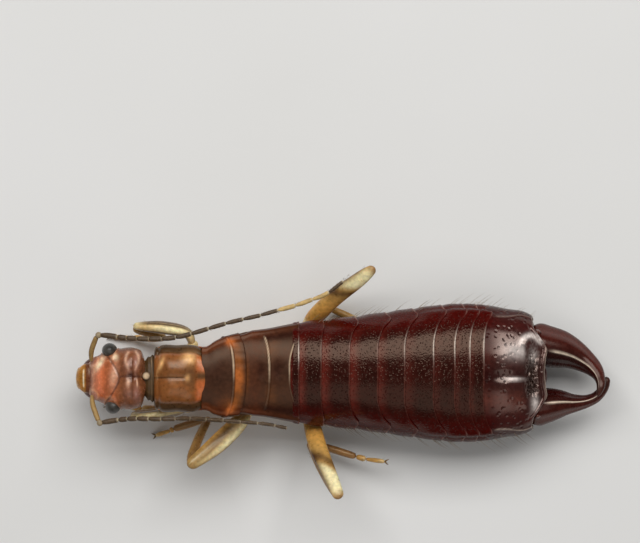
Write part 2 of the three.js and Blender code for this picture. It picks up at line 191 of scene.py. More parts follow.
def quads(rows, columns, closed=False):
    """Faces of a grid of points, closed round its columns if asked."""
    i, j = grid(np.arange(rows - 1), np.arange(columns if closed else columns - 1))
    right = (j + 1) % columns
    corners = [i * columns + j, i * columns + right, (i + 1) * columns + right, (i + 1) * columns + j]
    return np.stack(corners, -1).reshape(-1, 4)


def show(name, data):
    """An object in the scene."""
    made = bpy.data.objects.new(name, data)
    bpy.context.scene.collection.objects.link(made)
    return made


def piece(name, points, faces, look, replaces=(), marks=None, patch=None):
    """A mesh piece of the animal. Marks are numbers at its points, which its material reads.

    patch gives each point its place on the map that the colours are kept on, and is for hairs, whose
    points stay unwelded.
    """
    points = np.array(points, float)
    points[:, 2] = np.maximum(points[:, 2], FLOOR_GAP)
    mesh = bpy.data.meshes.new(name)
    mesh.from_pydata(((points + ORIGIN) * MM).tolist(), [], faces)
    for key, values in (marks or {}).items():
        layer = mesh.attributes.new(key, "FLOAT", "POINT")
        layer.data.foreach_set("value", np.asarray(values, np.float32).ravel())
    if patch is None:
        form = bmesh.new()
        form.from_mesh(mesh)
        bmesh.ops.remove_doubles(form, verts=form.verts, dist=WELD)
        bmesh.ops.recalc_face_normals(form, faces=form.faces)
        form.to_mesh(mesh)
        form.free()
    mesh.shade_smooth()
    if patch is not None:
        corners = np.empty(len(mesh.loops), np.int32)
        mesh.loops.foreach_get("vertex_index", corners)
        layer = mesh.uv_layers.new(name="OFBake")
        layer.data.foreach_set("uv", np.asarray(patch, np.float32)[corners].ravel())
    mesh.materials.append(MATERIALS[look])
    made = show(name, mesh)
    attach(made, "root")
    if replaces:
        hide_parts(*replaces)


class Heap:
    """Several forms that become one mesh piece."""

    def __init__(self):
        self.points = []
        self.faces = []
        self.marks = {}
        self.count = 0

    def add(self, points, faces, **marks):
        points = np.asarray(points, float).reshape(-1, 3)
        self.points.append(points)
        self.faces += (np.asarray(faces) + self.count).tolist()
        for key in set(self.marks) | set(marks):
            before = self.marks.setdefault(key, [np.zeros(self.count)])
            value = np.asarray(marks.get(key, 0.0), float)
            before.append(np.broadcast_to(value, (len(points),)) if value.ndim == 0 else value.ravel())
        self.count += len(points)

    def piece(self, name, look, slot, *replaces):
        marks = {key: np.clip(np.concatenate(values), 0, 1) for key, values in self.marks.items()}
        piece(name, np.concatenate(self.points), self.faces, look, replaces, marks)


RIM_STEPS = np.array([0.0, 0.06, 0.22, 0.5, 1.0])


def steps(count, front_rim, rear_rim):
    """Places from 0 to 1, closer together inside the rims."""
    inner = np.linspace(front_rim, 1 - rear_rim, count)
    return np.unique(np.concatenate([RIM_STEPS * front_rim, inner, 1 - RIM_STEPS * rear_rim]).round(6))


def roundness(shares, front_rim, rear_rim):
    """How thick a rounded plate is at these shares of its length."""
    depth = np.minimum(np.minimum(shares / front_rim, (1 - shares) / rear_rim), 1)
    return np.sqrt(np.clip(1 - (1 - depth) ** 2, 0, 1))


def grid_normals(points):
    """Unit normals of a grid of points."""
    return unit(np.cross(np.gradient(points, axis=0), np.gradient(points, axis=1)))


def plate(heap, surface, counts, rims, thickness):
    """A thin horny plate with rounded rims, which are shares of its front, rear and side.

    counts is how many steps it has from front to rear and across.
    surface(u, v) gives the points of its middle and their marks, with u from front to rear and v across.
    """
    front_rim, rear_rim, side_rim = rims
    u = steps(counts[0], front_rim, rear_rim)
    v = steps(counts[1], side_rim, side_rim)
    shape = (len(u), len(v))
    middle, marks = surface(*grid(u, v))
    half = thickness / 2 * roundness(u, front_rim, rear_rim)[:, None] * roundness(v, side_rim, side_rim)
    offset = grid_normals(middle) * half[..., None]
    upper = middle + offset
    lower = middle - offset
    rings = np.concatenate([upper, lower[-2:0:-1]], axis=0).transpose(1, 0, 2)
    values = {}
    for key, value in marks.items():
        value = np.broadcast_to(value, shape)
        values[key] = np.concatenate([value, value[-2:0:-1]], axis=0).T
    heap.add(rings, quads(len(v), rings.shape[1], closed=True), **values)


def columns_at(places, known, line):
    """The points of a line at some places, from its points at known places."""
    return np.stack([np.interp(places, known, line[:, k]) for k in range(3)], 1)


def spline(knots, count):
    """Evenly spaced points on a smooth line through knots."""
    knots = np.array(knots, float)
    if len(knots) == 2:
        return knots[0] + (knots[1] - knots[0]) * np.linspace(0, 1, count)[:, None]
    gaps = np.sqrt(np.linalg.norm(np.diff(knots, axis=0), axis=1))
    chord = np.concatenate([[0], np.cumsum(gaps)])
    fine = np.linspace(0, chord[-1], ROUTE_STATIONS)
    line = np.stack([smooth(np.stack([chord, knots[:, k]], 1))(fine) for k in range(3)], 1)
    return resample(line, np.linspace(0, 1, count))


def lengths_along(line):
    """The length of a line up to each of its points."""
    return np.concatenate([[0], np.cumsum(np.linalg.norm(np.diff(line, axis=0), axis=1))])


def resample(line, shares):
    """Points at these shares of a line's length."""
    run = lengths_along(line)
    return columns_at(shares * run[-1], run, line)


def frames(route):
    """Unit vectors along a route, to its side and across it, turning as little as they can."""
    along = unit(np.gradient(route, axis=0))
    rise = np.array((0, 0, 1), float)
    sides, rises = [], []
    for tangent in along:
        rise = rise - tangent * rise.dot(tangent)
        rise = rise / max(np.linalg.norm(rise), 1e-9)
        rises.append(rise)
        sides.append(np.cross(rise, tangent))
    return along, np.array(sides), np.array(rises)


TUBE_RIM = 0.05


def marked(marks, *places):
    """The marks at these places, from a function of the places or the same all over."""
    return marks(*places) if callable(marks) else marks or {}


def tube(heap, knots, girth, count, sides, deep=1.0, section=None, marks=None):
    """A limb along a route. girth is a curve of its half width, deep its height over its width.

    section(share, angle) changes the outline, where angle 0 is the side and a quarter turn the top.
    """
    shares = steps(count, TUBE_RIM, TUBE_RIM)
    route = spline(knots, ROUTE_STATIONS)
    length = lengths_along(route)[-1]
    places = np.linspace(0, 1, ROUTE_STATIONS)
    centre, side, rise = (columns_at(shares, places, line) for line in (route, *frames(route)[1:]))
    half = smooth(girth)(shares)
    start = np.clip(shares * length / half[0], 0, 1)
    finish = np.clip((1 - shares) * length / half[-1], 0, 1)
    half = half * np.sqrt(1 - (1 - start) ** 2) * np.sqrt(1 - (1 - finish) ** 2)
    share, angle = grid(shares, turns(sides))
    reach = half[:, None] * (section(share, angle) if section else 1.0)
    points = (
        centre[:, None, :]
        + side[:, None, :] * (reach * np.cos(angle))[..., None]
        + rise[:, None, :] * (reach * np.sin(angle) * deep)[..., None]
    )
    values = {key: np.broadcast_to(value, share.shape) for key, value in marked(marks, share, angle).items()}
    heap.add(points, quads(len(shares), sides, closed=True), **values)


def ball(heap, centre, size, rings=20, sides=28, shape=1.0, tilt=0.0, bulge=None, marks=None):
    """A rounded lump of three half sizes, squarer than an egg where shape is under 1.

    tilt turns it about the y axis, in degrees, and bulge(points) changes its outline.
    """
    p, a = grid(np.linspace(0, np.pi, rings), turns(sides))
    points = power(np.stack([np.sin(p) * np.cos(a), np.sin(p) * np.sin(a), np.cos(p)], -1), shape)
    if bulge:
        points = points * bulge(points)[..., None]
    c, s = math.cos(math.radians(tilt)), math.sin(math.radians(tilt))
    points = points * np.array(size) @ np.array([[c, 0, -s], [0, 1, 0], [s, 0, c]]) + np.array(centre)
    heap.add(points, quads(rings, sides, closed=True), **marked(marks, points))


def capped(heap, points, **marks):
    """A grid closed round its columns, with both ends filled by fans."""
    rows, columns = points.shape[:2]
    heap.add(points, quads(rows, columns, closed=True), **marks)
    fan = [(k, (k + 1) % columns, columns) for k in range(columns)]
    for end in (points[0], points[-1]):
        heap.add(np.vstack([end, end.mean(0)]), fan)


# Materials

MATERIALS = {}
COAT_ROUGHNESS = 0.2
FULL_GLOSS = 0.5
# The size of the finest mottling, and how light spreads in softer shell, in millimetres and by colour
FINE_GRAIN = 0.12
GLOW_DEPTH = 0.12
GLOW_SPREAD = (1.0, 0.5, 0.25)


def node(tree, kind, inputs=None, **settings):
    """A shader node with its settings, and inputs given as values or as sockets to link."""
    made = tree.nodes.new("ShaderNode" + kind)
    for key, value in settings.items():
        setattr(made, key, value)
    for key, value in (inputs or {}).items():
        if isinstance(value, bpy.types.NodeSocket):
            tree.links.new(value, made.inputs[key])
        else:
            made.inputs[key].default_value = value
    return made


def colour(code):
    """A display colour written as six hex digits, as Blender's linear colour."""
    parts = [int(code[i:i + 2], 16) / 255 for i in (0, 2, 4)]
    return tuple(c / 12.92 if c <= 0.04045 else ((c + 0.055) / 1.055) ** 2.4 for c in parts) + (1.0,)


def blend(tree, share, first, second, kind="MIX"):
    """A mix of two colours."""
    return node(tree, "Mix", {0: share, 6: first, 7: second}, data_type="RGBA", blend_type=kind).outputs[2]


def remap(tree, value, low, high, start=0.0, end=1.0):
    """A value moved from one range to another."""
    inputs = {"Value": value, "From Min": low, "From Max": high, "To Min": start, "To Max": end}
    return node(tree, "MapRange", inputs).outputs["Result"]


def blank(name):
    """A new material, its nodes, its shader and the place on the surface."""
    material = bpy.data.materials.new(name)
    material.use_nodes = True
    tree = material.node_tree
    MATERIALS[name] = material
    return tree, tree.nodes["Principled BSDF"], node(tree, "TexCoord").outputs["Object"]


def set_all(shader, **values):
    """Numbers and colours that are the same all over, by the names of their sockets."""
    for key, value in values.items():
        shader.inputs[key.replace("_", " ")].default_value = value


def shell(name, base, deep, marks, roughness=(0.3, 0.42), coat=0.0, ior=1.5, gleam="ffffff", mottle=1.4,
          grain=None, pits=None, glow=0.0, dull=None):
    """Horny shell: two colours in clouds, further colours by mark, and a fine relief.

    Sizes are in millimetres: mottle of the clouds, grain and pits each as a size and a height.
    gleam is the colour of its reflections, glow how much light spreads in it, and dull a mark and how
    strong the reflections stay where it is full.
    """
    tree, shader, place = blank(name)

    def pattern(kind, size, output, inputs=None, **settings):
        inputs = {"Vector": place, "Scale": 1 / MM / size, **(inputs or {})}
        return node(tree, kind, inputs, **settings).outputs[output]

    def amount(mark):
        return node(tree, "Attribute", attribute_name=mark).outputs["Fac"]

    def raised(shape, height, before):
        inputs = {"Height": shape, "Distance": height * MM, **before}
        return {"Normal": node(tree, "Bump", inputs).outputs["Normal"]}

    clouds = pattern("TexNoise", mottle, "Fac", {"Detail": 5.0, "Roughness": 0.6})
    fine = pattern("TexNoise", FINE_GRAIN, "Fac", {"Detail": 3.0})
    surface = blend(tree, remap(tree, clouds, 0.35, 0.68), colour(base), colour(deep))
    for mark, code in marks.items():
        surface = blend(tree, amount(mark), surface, colour(code))
    surface = blend(tree, 1.0, surface, remap(tree, fine, 0.3, 0.7, 0.78, 1.18), "MULTIPLY")
    relief = {}
    if pits:
        holes = pattern("TexVoronoi", pits[0], "Distance")
        surface = blend(tree, 1.0, surface, remap(tree, holes, 0.05, 0.4, 0.64, 1.08), "MULTIPLY")
        relief = raised(remap(tree, holes, 0.0, 0.42), pits[1], relief)
    if grain:
        grains = pattern("TexVoronoi", grain[0], "Distance", feature="SMOOTH_F1")
        relief = raised(grains, grain[1], relief)
    links = {"Base Color": surface, "Roughness": remap(tree, fine, 0.3, 0.7, *roughness), **relief}
    if dull:
        links["Specular IOR Level"] = remap(tree, amount(dull[0]), 0.0, 1.0, FULL_GLOSS, dull[1])
    for socket, value in links.items():
        tree.links.new(value, shader.inputs[socket])
    set_all(shader, Coat_Weight=coat, Coat_Roughness=COAT_ROUGHNESS, Specular_Tint=colour(gleam), IOR=ior)
    if glow:
        set_all(shader, Subsurface_Weight=glow, Subsurface_Radius=GLOW_SPREAD,
                Subsurface_Scale=GLOW_DEPTH * MM)


# Painted light in these colours: pale rims, light tones, shine and the lip's pale colour also paint
# highlights; the dark of the forceps and of the membrane also paints shade
shell("tergite", "2c0a06", "1e0604",
      {"warm": "642018", "side": "400402", "fold": "48241a", "seam": "824438", "rim": "ecdccc"},
      (0.13, 0.21), ior=1.38, gleam="ffdabf", grain=(0.045, 0.003), pits=(0.07, 0.007), dull=("matt", 0.1))
shell("sternite", "240805", "180503", {"rim": "b09888", "fold": "3a2018"}, ior=1.37, gleam="ffdabf",
      grain=(0.07, 0.008))
shell("tail", "34100d", "260a08",
      {"side": "3c0503", "warm": "54281f", "fold": "20100a", "rim": "d0bcaa", "shine": "f4e8e0"},
      (0.15, 0.24), ior=1.72, gleam="ffe2d4", pits=(0.17, 0.012), dull=("matt", 0.1))
shell("forceps", "300b07", "200605", {"warm": "521a10", "dark": "300604", "rim": "f0dcc4", "tip": "32201a"},
      (0.22, 0.32), coat=0.2, ior=1.38, gleam="ffdcc8")
shell("pronotum", "8c5428", "784620",
      {"warm": "bc6230", "shade": "543418", "fold": "402a14", "edge": "3c2210", "rim": "d0a068",
       "bright": "f4bc7c"},
      (0.26, 0.36), coat=0.3, ior=1.45, gleam="ffe0bc", glow=0.25, mottle=0.9)
shell("thorax", "422517", "321c11",
      {"warm": "864a1a", "side": "54240f", "fold": "2a0c06", "rim": "d8bc9c", "bright": "d07034"},
      (0.28, 0.38), ior=1.36, gleam="ffdcbe", mottle=0.6)
shell("pleura", "4c2614", "32160c", {"warm": "984c24", "pale": "dca050", "fold": "280e08", "rim": "ecd4a4"},
      ior=1.4, gleam="ffdcbe", glow=0.15, mottle=0.45, grain=(0.08, 0.006))
shell("head", "865030", "6a3c22",
      {"warm": "e07848", "lobe": "96685a", "fold": "401c12", "dark": "54200f", "rim": "e0b08c",
       "bright": "f0c0a0", "shine": "ffe8c0"},
      (0.2, 0.3), coat=0.35, ior=1.45, gleam="ffe2d0", glow=0.15, mottle=0.5)
shell("lip", "b47a30", "946022", {"rim": "f4e4c4", "fold": "5c2a1c", "pale": "e0bc5c", "warm": "8a4c1c"},
      (0.24, 0.34), coat=0.2, gleam="ffecc8", glow=0.3, mottle=0.4)
shell("leg", "c89c56", "ae8446",
      {"warm": "d09848", "olive": "82704c", "rim": "f4e8b6", "brown": "7a5434", "ring": "482a18",
       "fold": "2c1c10"},
      (0.26, 0.38), coat=0.2, gleam="ffe8bc", glow=0.25, mottle=0.4)
shell("antenna", "43342a", "1e1610", {"base": "94713e", "pale": "c4a468", "ring": "ccbc9c"}, (0.4, 0.55),
      ior=1.4, mottle=0.09)
shell("membrane", "5e4430", "443020", {"warm": "a06c38", "dark": "463012", "pale": "ccb08c"}, (0.45, 0.6),
      ior=1.4, mottle=0.3, grain=(0.09, 0.01))
shell("jaw", "682a14", "3c160a", {}, (0.2, 0.3), ior=1.42, mottle=0.2)
shell("palp", "b8702f", "985522", {"tip": "e4c884"}, (0.35, 0.45), glow=0.2, mottle=0.3)
shell("hair", "a8937a", "84705a", {}, (0.4, 0.5))
shell("eye", "4a4640", "332f2b", {}, (0.3, 0.4), ior=1.44, mottle=0.3, grain=(0.035, 0.006))


# Trunk outline, by place along the body

trunk_half = smooth([
    (4.1, 0.98), (4.5, 1.16), (5.2, 1.27), (5.9, 1.35), (6.9, 1.54), (8.3, 1.68), (9.5, 1.83),
    (10.8, 2.01), (11.8, 2.11), (12.7, 2.08), (13.4, 1.95), (14.1, 1.8), (14.6, 1.42),
])
trunk_top = smooth([
    (2.5, 2.68), (3.0, 2.86), (3.7, 2.78), (4.6, 2.71), (6.0, 2.58), (7.0, 2.54), (8.3, 2.66),
    (9.8, 2.71), (11.4, 2.67), (12.7, 2.48), (13.9, 2.2), (14.6, 1.78),
])
trunk_bottom = smooth([
    (2.5, 1.3), (3.5, 1.12), (4.2, 1.04), (4.9, 0.78), (5.8, 0.48), (6.5, 0.3), (7.7, 0.26), (9.5, 0.14),
    (11.1, 0.0), (12.5, 0.0), (13.1, 0.12), (14.0, 0.32), (14.6, 0.62),
])
trunk_level = smooth([
    (2.5, 2.38), (4.1, 2.3), (5.3, 2.1), (6.5, 1.7), (7.5, 1.35), (10.0, 1.2), (14.6, 1.15),
])
under_half = smooth([(2.5, 0.55), (4.1, 0.62), (5.3, 0.68), (6.3, 0.95), (7.2, 1.42), (8.3, 1.6)])

# How far behind its middle a plate's rear edge lies, by the angle from the top of the back
edge_slant = smooth([(0, 0), (0.5, 0.02), (0.75, 0.14), (1.05, 0.4), (1.25, 0.3), (1.6, 0.2), (3.2, 0.1)])


def trunk_skin(x, angle, raised=0.0):
    """Points of the trunk's skin. The angle is 0 at the top of the back, a quarter turn at the right side."""
    out = np.sin(angle)
    up = np.cos(angle)
    level = trunk_level(x)
    half = trunk_half(x)
    below = np.minimum(under_half(x), half * 0.95)
    width = np.where(up > 0, half, below + (half - below) * bump(up, 0, 0.3))
    height = np.where(up > 0, trunk_top(x) - level, level - trunk_bottom(x))
    lean = FRONT_LEAN * (1 - fade(x, PRONOTUM_REAR, 5.6))
    y = lean + power(out, 0.85) * width + out * raised
    z = level + power(up, 0.88) * height + up * raised
    return np.stack([x + 0 * out, y, z], -1)


# Abdomen: overlapping plates over the back and the belly, and a soft fold between them along each side

def abdomen_tergites():
    heap = Heap()
    for front, rear in zip(TERGITE_EDGES, TERGITE_EDGES[1:]):
        tuck = OVERLAP if front > TERGITE_EDGES[0] else 0.1
        length = rear - front + tuck
        slanted = fade(rear, 6.9, 9.6) * (1 - 0.35 * fade(rear, 11.6, 12.7))
        keel = fade(rear, 10.6, 11.6)
        strong = 0.15 + 0.85 * np.maximum(fade(rear, 9.6, 11.0), bump(rear, 6.98, 0.1))
        flush = 0.2 + 0.45 * fade(rear, 11.5, 9.0)

        def surface(u, v):
            angle = (v * 2 - 1) * TERGITE_REACH
            turn = np.abs(angle)
            from_front = u * length
            from_rear = (1 - u) * length
            ridge = 0.045 * bump(turn, 1.06, 0.09) * fade(u, 0.2, 0.7) - 0.02 * bump(turn, 1.2, 0.08)
            lift = (
                -0.025 + 0.042 * fade(from_front, 0.5 * tuck, tuck + 0.5 * (rear - front))
                + 0.016 * bump(u, 0.66, 0.25) + 0.016 * bump(from_rear, 0.02, 0.035) + keel * ridge
            )
            # A painted highlight along each rear rim, on the right half of the back only, strongest on the
            # first and the last plates
            glint = 0.9 * strong * fade(v, 0.46, 0.58) * bump(turn, 0.36, 0.22)
            brown = fade(rear, 10.8, 8.4) * fade(turn, 1.05, 1.25)
            near_seam = fade(from_front - tuck, 0.45 * (rear - front), 0.0)
            x = front - tuck + from_front + edge_slant(turn) * slanted * (0.4 + 0.6 * u)
            return trunk_skin(x, angle, lift), {
                "warm": flush * near_seam * fade(turn, 1.3, 0.7) + 0.8 * brown,
                "side": fade(turn, 0.5, 0.9) * (1 - 0.6 * brown),
                "matt": fade(turn, 0.9, 1.15),
                "fold": 0.3 * bump(turn, 1.24, 0.14) + 0.9 * fade(turn, 1.54, 1.66),
                "seam": bump(from_rear, 0.012, 0.018)
                * (0.35 - 0.27 * bump(turn, 0.8, 0.35) + 0.25 * fade(turn, 1.05, 1.25)),
                # The rear margin is pale, and carries that painted highlight and a faint painted highlight at
                # the side corners
                "rim": bump(from_rear, 0.012, 0.016)
                * (glint + 0.08 * bump(turn, 1.02, 0.06) + 0.15 * fade(turn, 1.1, 1.3)),
            }

        plate(heap, surface, (16, 90), (0.04, 0.05, 0.02), PLATE_THICKNESS)
    heap.piece("abdomen_tergites", "tergite", "mahogany", "abdomen")


def abdomen_sternites():
    heap = Heap()
    for front, rear in zip(STERNITE_EDGES, STERNITE_EDGES[1:]):
        length = rear - front + OVERLAP

        def surface(u, v):
            from_belly = (v * 2 - 1) * STERNITE_REACH
            x = front - OVERLAP + u * length + 0.16 * np.sin(from_belly) ** 2
            lift = -0.05 + 0.045 * fade(u * length, 0.5 * OVERLAP, OVERLAP + 0.3 * (rear - front))
            return trunk_skin(x, np.pi - from_belly, lift), {
                "fold": 0.5 * bump(np.abs(v * 2 - 1), 1.0, 0.12),
                "rim": 0.9 * bump((1 - u) * length, 0.01, 0.026),
            }

        plate(heap, surface, (10, 44), (0.04, 0.05, 0.03), PLATE_THICKNESS)
    heap.piece("abdomen_sternites", "sternite", "mahogany")


def pleural_folds():
    """The soft skin under all the plates, with a pale fold along each side."""
    heap = Heap()
    x, angle = grid(np.linspace(6.2, 13.7, 120), turns(120))
    from_top = around(angle, 0)
    pleats = 0.03 * bump(from_top, 1.8, 0.05) + 0.012 * np.sin(x * 24) * bump(from_top, 1.8, 0.09)
    capped(heap, trunk_skin(x, angle, -0.075 + pleats), dark=fade(from_top, 1.75, 1.55),
           pale=0.45 * bump(from_top, 1.86, 0.09))
    heap.piece("pleural_folds", "membrane", "membrane")


# Last tergite, with a furrow, two lobes over the forceps and a wrinkled hollow between them

tail_rear = smooth([
    (0, 14.62), (0.25, 14.66), (0.47, 14.69), (0.62, 14.58), (0.82, 14.32), (1.0, 14.26), (1.8, 14.28),
])


def tail_surface(u, v):
    angle = (v * 2 - 1) * TAIL_REACH
    turn = np.abs(angle)
    length = tail_rear(turn) - TAIL_FRONT
    x = TAIL_FRONT + u * length
    aside = trunk_skin(x, angle)[..., 1] + 0.05
    beside = np.abs(aside)
    from_rear = (1 - u) * length
    seam = 0.98 + 0.22 * fade(x, 13.1, 14.25)
    inner = fade(beside, 0.88, 0.55)
    wrinkles = np.sin(aside * 38 + 3 * np.sin(x * 23)) * np.sin(x * 34 + 2 * np.sin(aside * 15))
    mottle = 0.5 + 0.5 * wrinkles
    arch_highlight = bump(np.hypot((x - 14.17) / 0.33, (aside - 0.8) / 0.36), 1.0, 0.27) * fade(aside, 0.85, 1.02)
    lift = (
        -0.03 + 0.05 * fade(x, 12.55, 13.0) + 0.1 * bump(x, 14.12, 0.22, beside, 0.98, 0.22)
        - 0.07 * bump(aside, -0.06, 0.1) * window(x, 12.9, 13.3, 13.9, 14.2)
        + (0.075 * wrinkles - 0.15) * bump(x, 14.2, 0.2) * inner
        + (0.05 * bump(from_rear, 0.05, 0.05) - 0.03 * bump(from_rear, 0.16, 0.05)) * fade(turn, 0.95, 0.75)
        + 0.03 * bump(x, 13.3, 0.35, beside, 0.55, 0.3) + 0.015 * bump(turn, seam, 0.03) * fade(x, 12.9, 13.1)
    )
    return trunk_skin(x, angle, lift), {
        "matt": fade(x, 13.35, 12.8) + fade(turn, 0.95, 1.2),
        # Painted highlights: an arch over the right lobe, a patch on the left lobe, specks in the hollow, a
        # line beside the furrow and a broad patch before the right lobe
        "shine": (0.5 + 0.5 * mottle) * (0.95 * arch_highlight + 0.75 * bump(x, 14.3, 0.11, aside, -0.9, 0.2))
        + 0.45 * mottle * bump(x, 14.24, 0.15, aside, 0.6, 0.22)
        + 0.85 * bump(x, 13.62, 0.26, aside, -0.15, 0.05)
        + 0.55 * window(x, 13.0, 13.75, 13.9, 14.05) * bump(aside, 0.74, 0.24),
        "side": 0.85 * bump(turn, 0.82, 0.2) + 0.6 * fade(turn, 1.0, 1.2),
        "warm": 0.8 * bump(aside, -0.8, 0.3) * fade(x, 14.1, 13.8) + 0.3 * bump(aside, 0.6, 0.3),
        # Painted shade in the wrinkled hollow between the lobes, and darker low on the sides
        "fold": 0.9 * bump(x, 14.2, 0.21) * inner + 0.3 * fade(turn, 1.1, 1.4),
        "rim": (0.4 - 0.25 * np.sign(angle)) * bump(turn, seam, 0.018) * fade(x, 13.0, 13.2)
        + 0.7 * bump(u, 1, 0.012) + 0.6 * bump(np.abs(v * 2 - 1), 1, 0.02) * fade(x, 13.1, 13.3)
        # A painted glint along the front edge, on the right only
        + 0.5 * bump(u, 0.1, 0.006) * window(angle, 0.1, 0.3, 0.7, 0.9),
    }


def last_tergite():
    heap = Heap()
    plate(heap, tail_surface, (76, 130), (0.02, 0.03, 0.02), TAIL_THICKNESS)
    for side in (-1, 1):
        ball(heap, (14.4, side * 1.3 - 0.04, 1.38), (0.13, 0.1, 0.34), marks={"warm": 1.0})
    ball(heap, (14.58, -0.1, 1.1), (0.13, 0.28, 0.22), shape=0.85, marks={"side": 0.6})
    heap.piece("last_tergite_plate", "tail", "glossy_mahogany", "last_tergite")


def subgenital_plate():
    heap = Heap()
    front = 12.6 - OVERLAP

    def surface(u, v):
        from_belly = (v * 2 - 1) * SUBGENITAL_REACH
        rear = 14.52 - 0.28 * np.sin(from_belly) ** 2
        x = front + u * (rear - front)
        lift = -0.05 + 0.05 * fade(x, front, front + 0.4) + 0.03 * bump(rear - x, 0.05, 0.06)
        return trunk_skin(x, np.pi - from_belly, lift), {
            "rim": 0.7 * bump(1 - u, 0, 0.02) + 0.5 * bump(np.abs(v * 2 - 1), 1, 0.03),
        }

    plate(heap, surface, (24, 44), (0.03, 0.03, 0.03), SUBGENITAL_THICKNESS)
    heap.piece("subgenital_plate", "sternite", "mahogany")


# Forceps: the route and half widths of each arm
FORCEPS = {
    "right": (
        [(13.95, 0.93, 1.16), (14.3, 0.89, 1.14), (14.66, 0.83, 1.1), (15.13, 0.73, 1.02), (15.5, 0.59, 0.98),
         (15.84, 0.39, 1.0), (16.13, 0.16, 1.12), (16.31, -0.09, 1.3), (16.375, -0.39, 1.48),
         (16.28, -0.73, 1.56)],
        [(0, 0.64), (0.1, 0.7), (0.22, 0.65), (0.36, 0.585), (0.5, 0.45), (0.62, 0.335), (0.73, 0.25),
         (0.82, 0.18), (0.91, 0.14), (1, 0.06)],
    ),
    "left": (
        [(13.95, -1.08, 1.2), (14.3, -1.06, 1.2), (14.66, -1.02, 1.2), (15.13, -0.97, 1.16),
         (15.59, -0.95, 1.1), (15.95, -0.89, 1.06), (16.25, -0.75, 1.04), (16.47, -0.48, 1.04),
         (16.59, -0.13, 1.06)],
        [(0, 0.6), (0.1, 0.64), (0.22, 0.57), (0.37, 0.45), (0.52, 0.29), (0.66, 0.2), (0.79, 0.17),
         (0.9, 0.155), (1, 0.12)],
    ),
}


def forceps_arm(name, knots, girth):
    """One arm, three-sided, with its ridge on top and a row of fine teeth inside near its root."""
    heap = Heap()
    outer, inner, crest, warm, dark = (
        (0, np.pi, 0.18, 0.6, -0.5) if name == "right" else (np.pi, 0, -0.12, -0.6, 0.5)
    )

    def from_crest(angle):
        return around(angle, np.pi / 2 + crest)

    def section(share, angle):
        corners = 0.13 * np.cos(3 * (angle - np.pi / 2)) * fade(share, 1.0, 0.6)
        ridge = 0.07 * bump(from_crest(angle), 0, 0.09) * fade(share, 0.1, 0.3)
        teeth = 0.05 * np.sin(share * 150) ** 2 * stripe(angle, inner - 0.2, 0.2)
        return 0.95 + corners + ridge + teeth * window(share, 0.25, 0.35, 0.55, 0.75)

    def marks(share, angle):
        return {
            "warm": 0.8 * stripe(angle, outer + warm, 0.8),
            # Darker along the inner face, partly as painted shade
            "dark": 0.6 * stripe(angle, inner + dark, 0.7),
            # A painted highlight along the ridge
            "rim": 0.85 * bump(from_crest(angle), 0, 0.05) * window(share, 0.2, 0.3, 0.85, 1.0),
            "tip": 0.6 * fade(share, 0.72, 0.92),
        }

    tube(heap, knots, girth, 110, 96, 0.8, section, marks)
    heap.piece(f"forceps_arm_{name}", "forceps", "glossy_mahogany", f"forceps_{name}")


abdomen_tergites()
abdomen_sternites()
pleural_folds()
last_tergite()
subgenital_plate()
for arm_name, arm in FORCEPS.items():
    forceps_arm(arm_name, *arm)


# Thorax: the pronotum, two wide plates without wings, and the softer sides and underside

pronotum_half = smooth([
    (2.47, 0.76), (2.5, 0.88), (2.6, 0.95), (3.2, 1.0), (3.6, 1.01), (3.8, 0.97), (3.94, 0.88), (4.05, 0.72),
    (4.1, 0.5),
])
SHIELD_RIMS = (0.03, 0.03, 0.02)


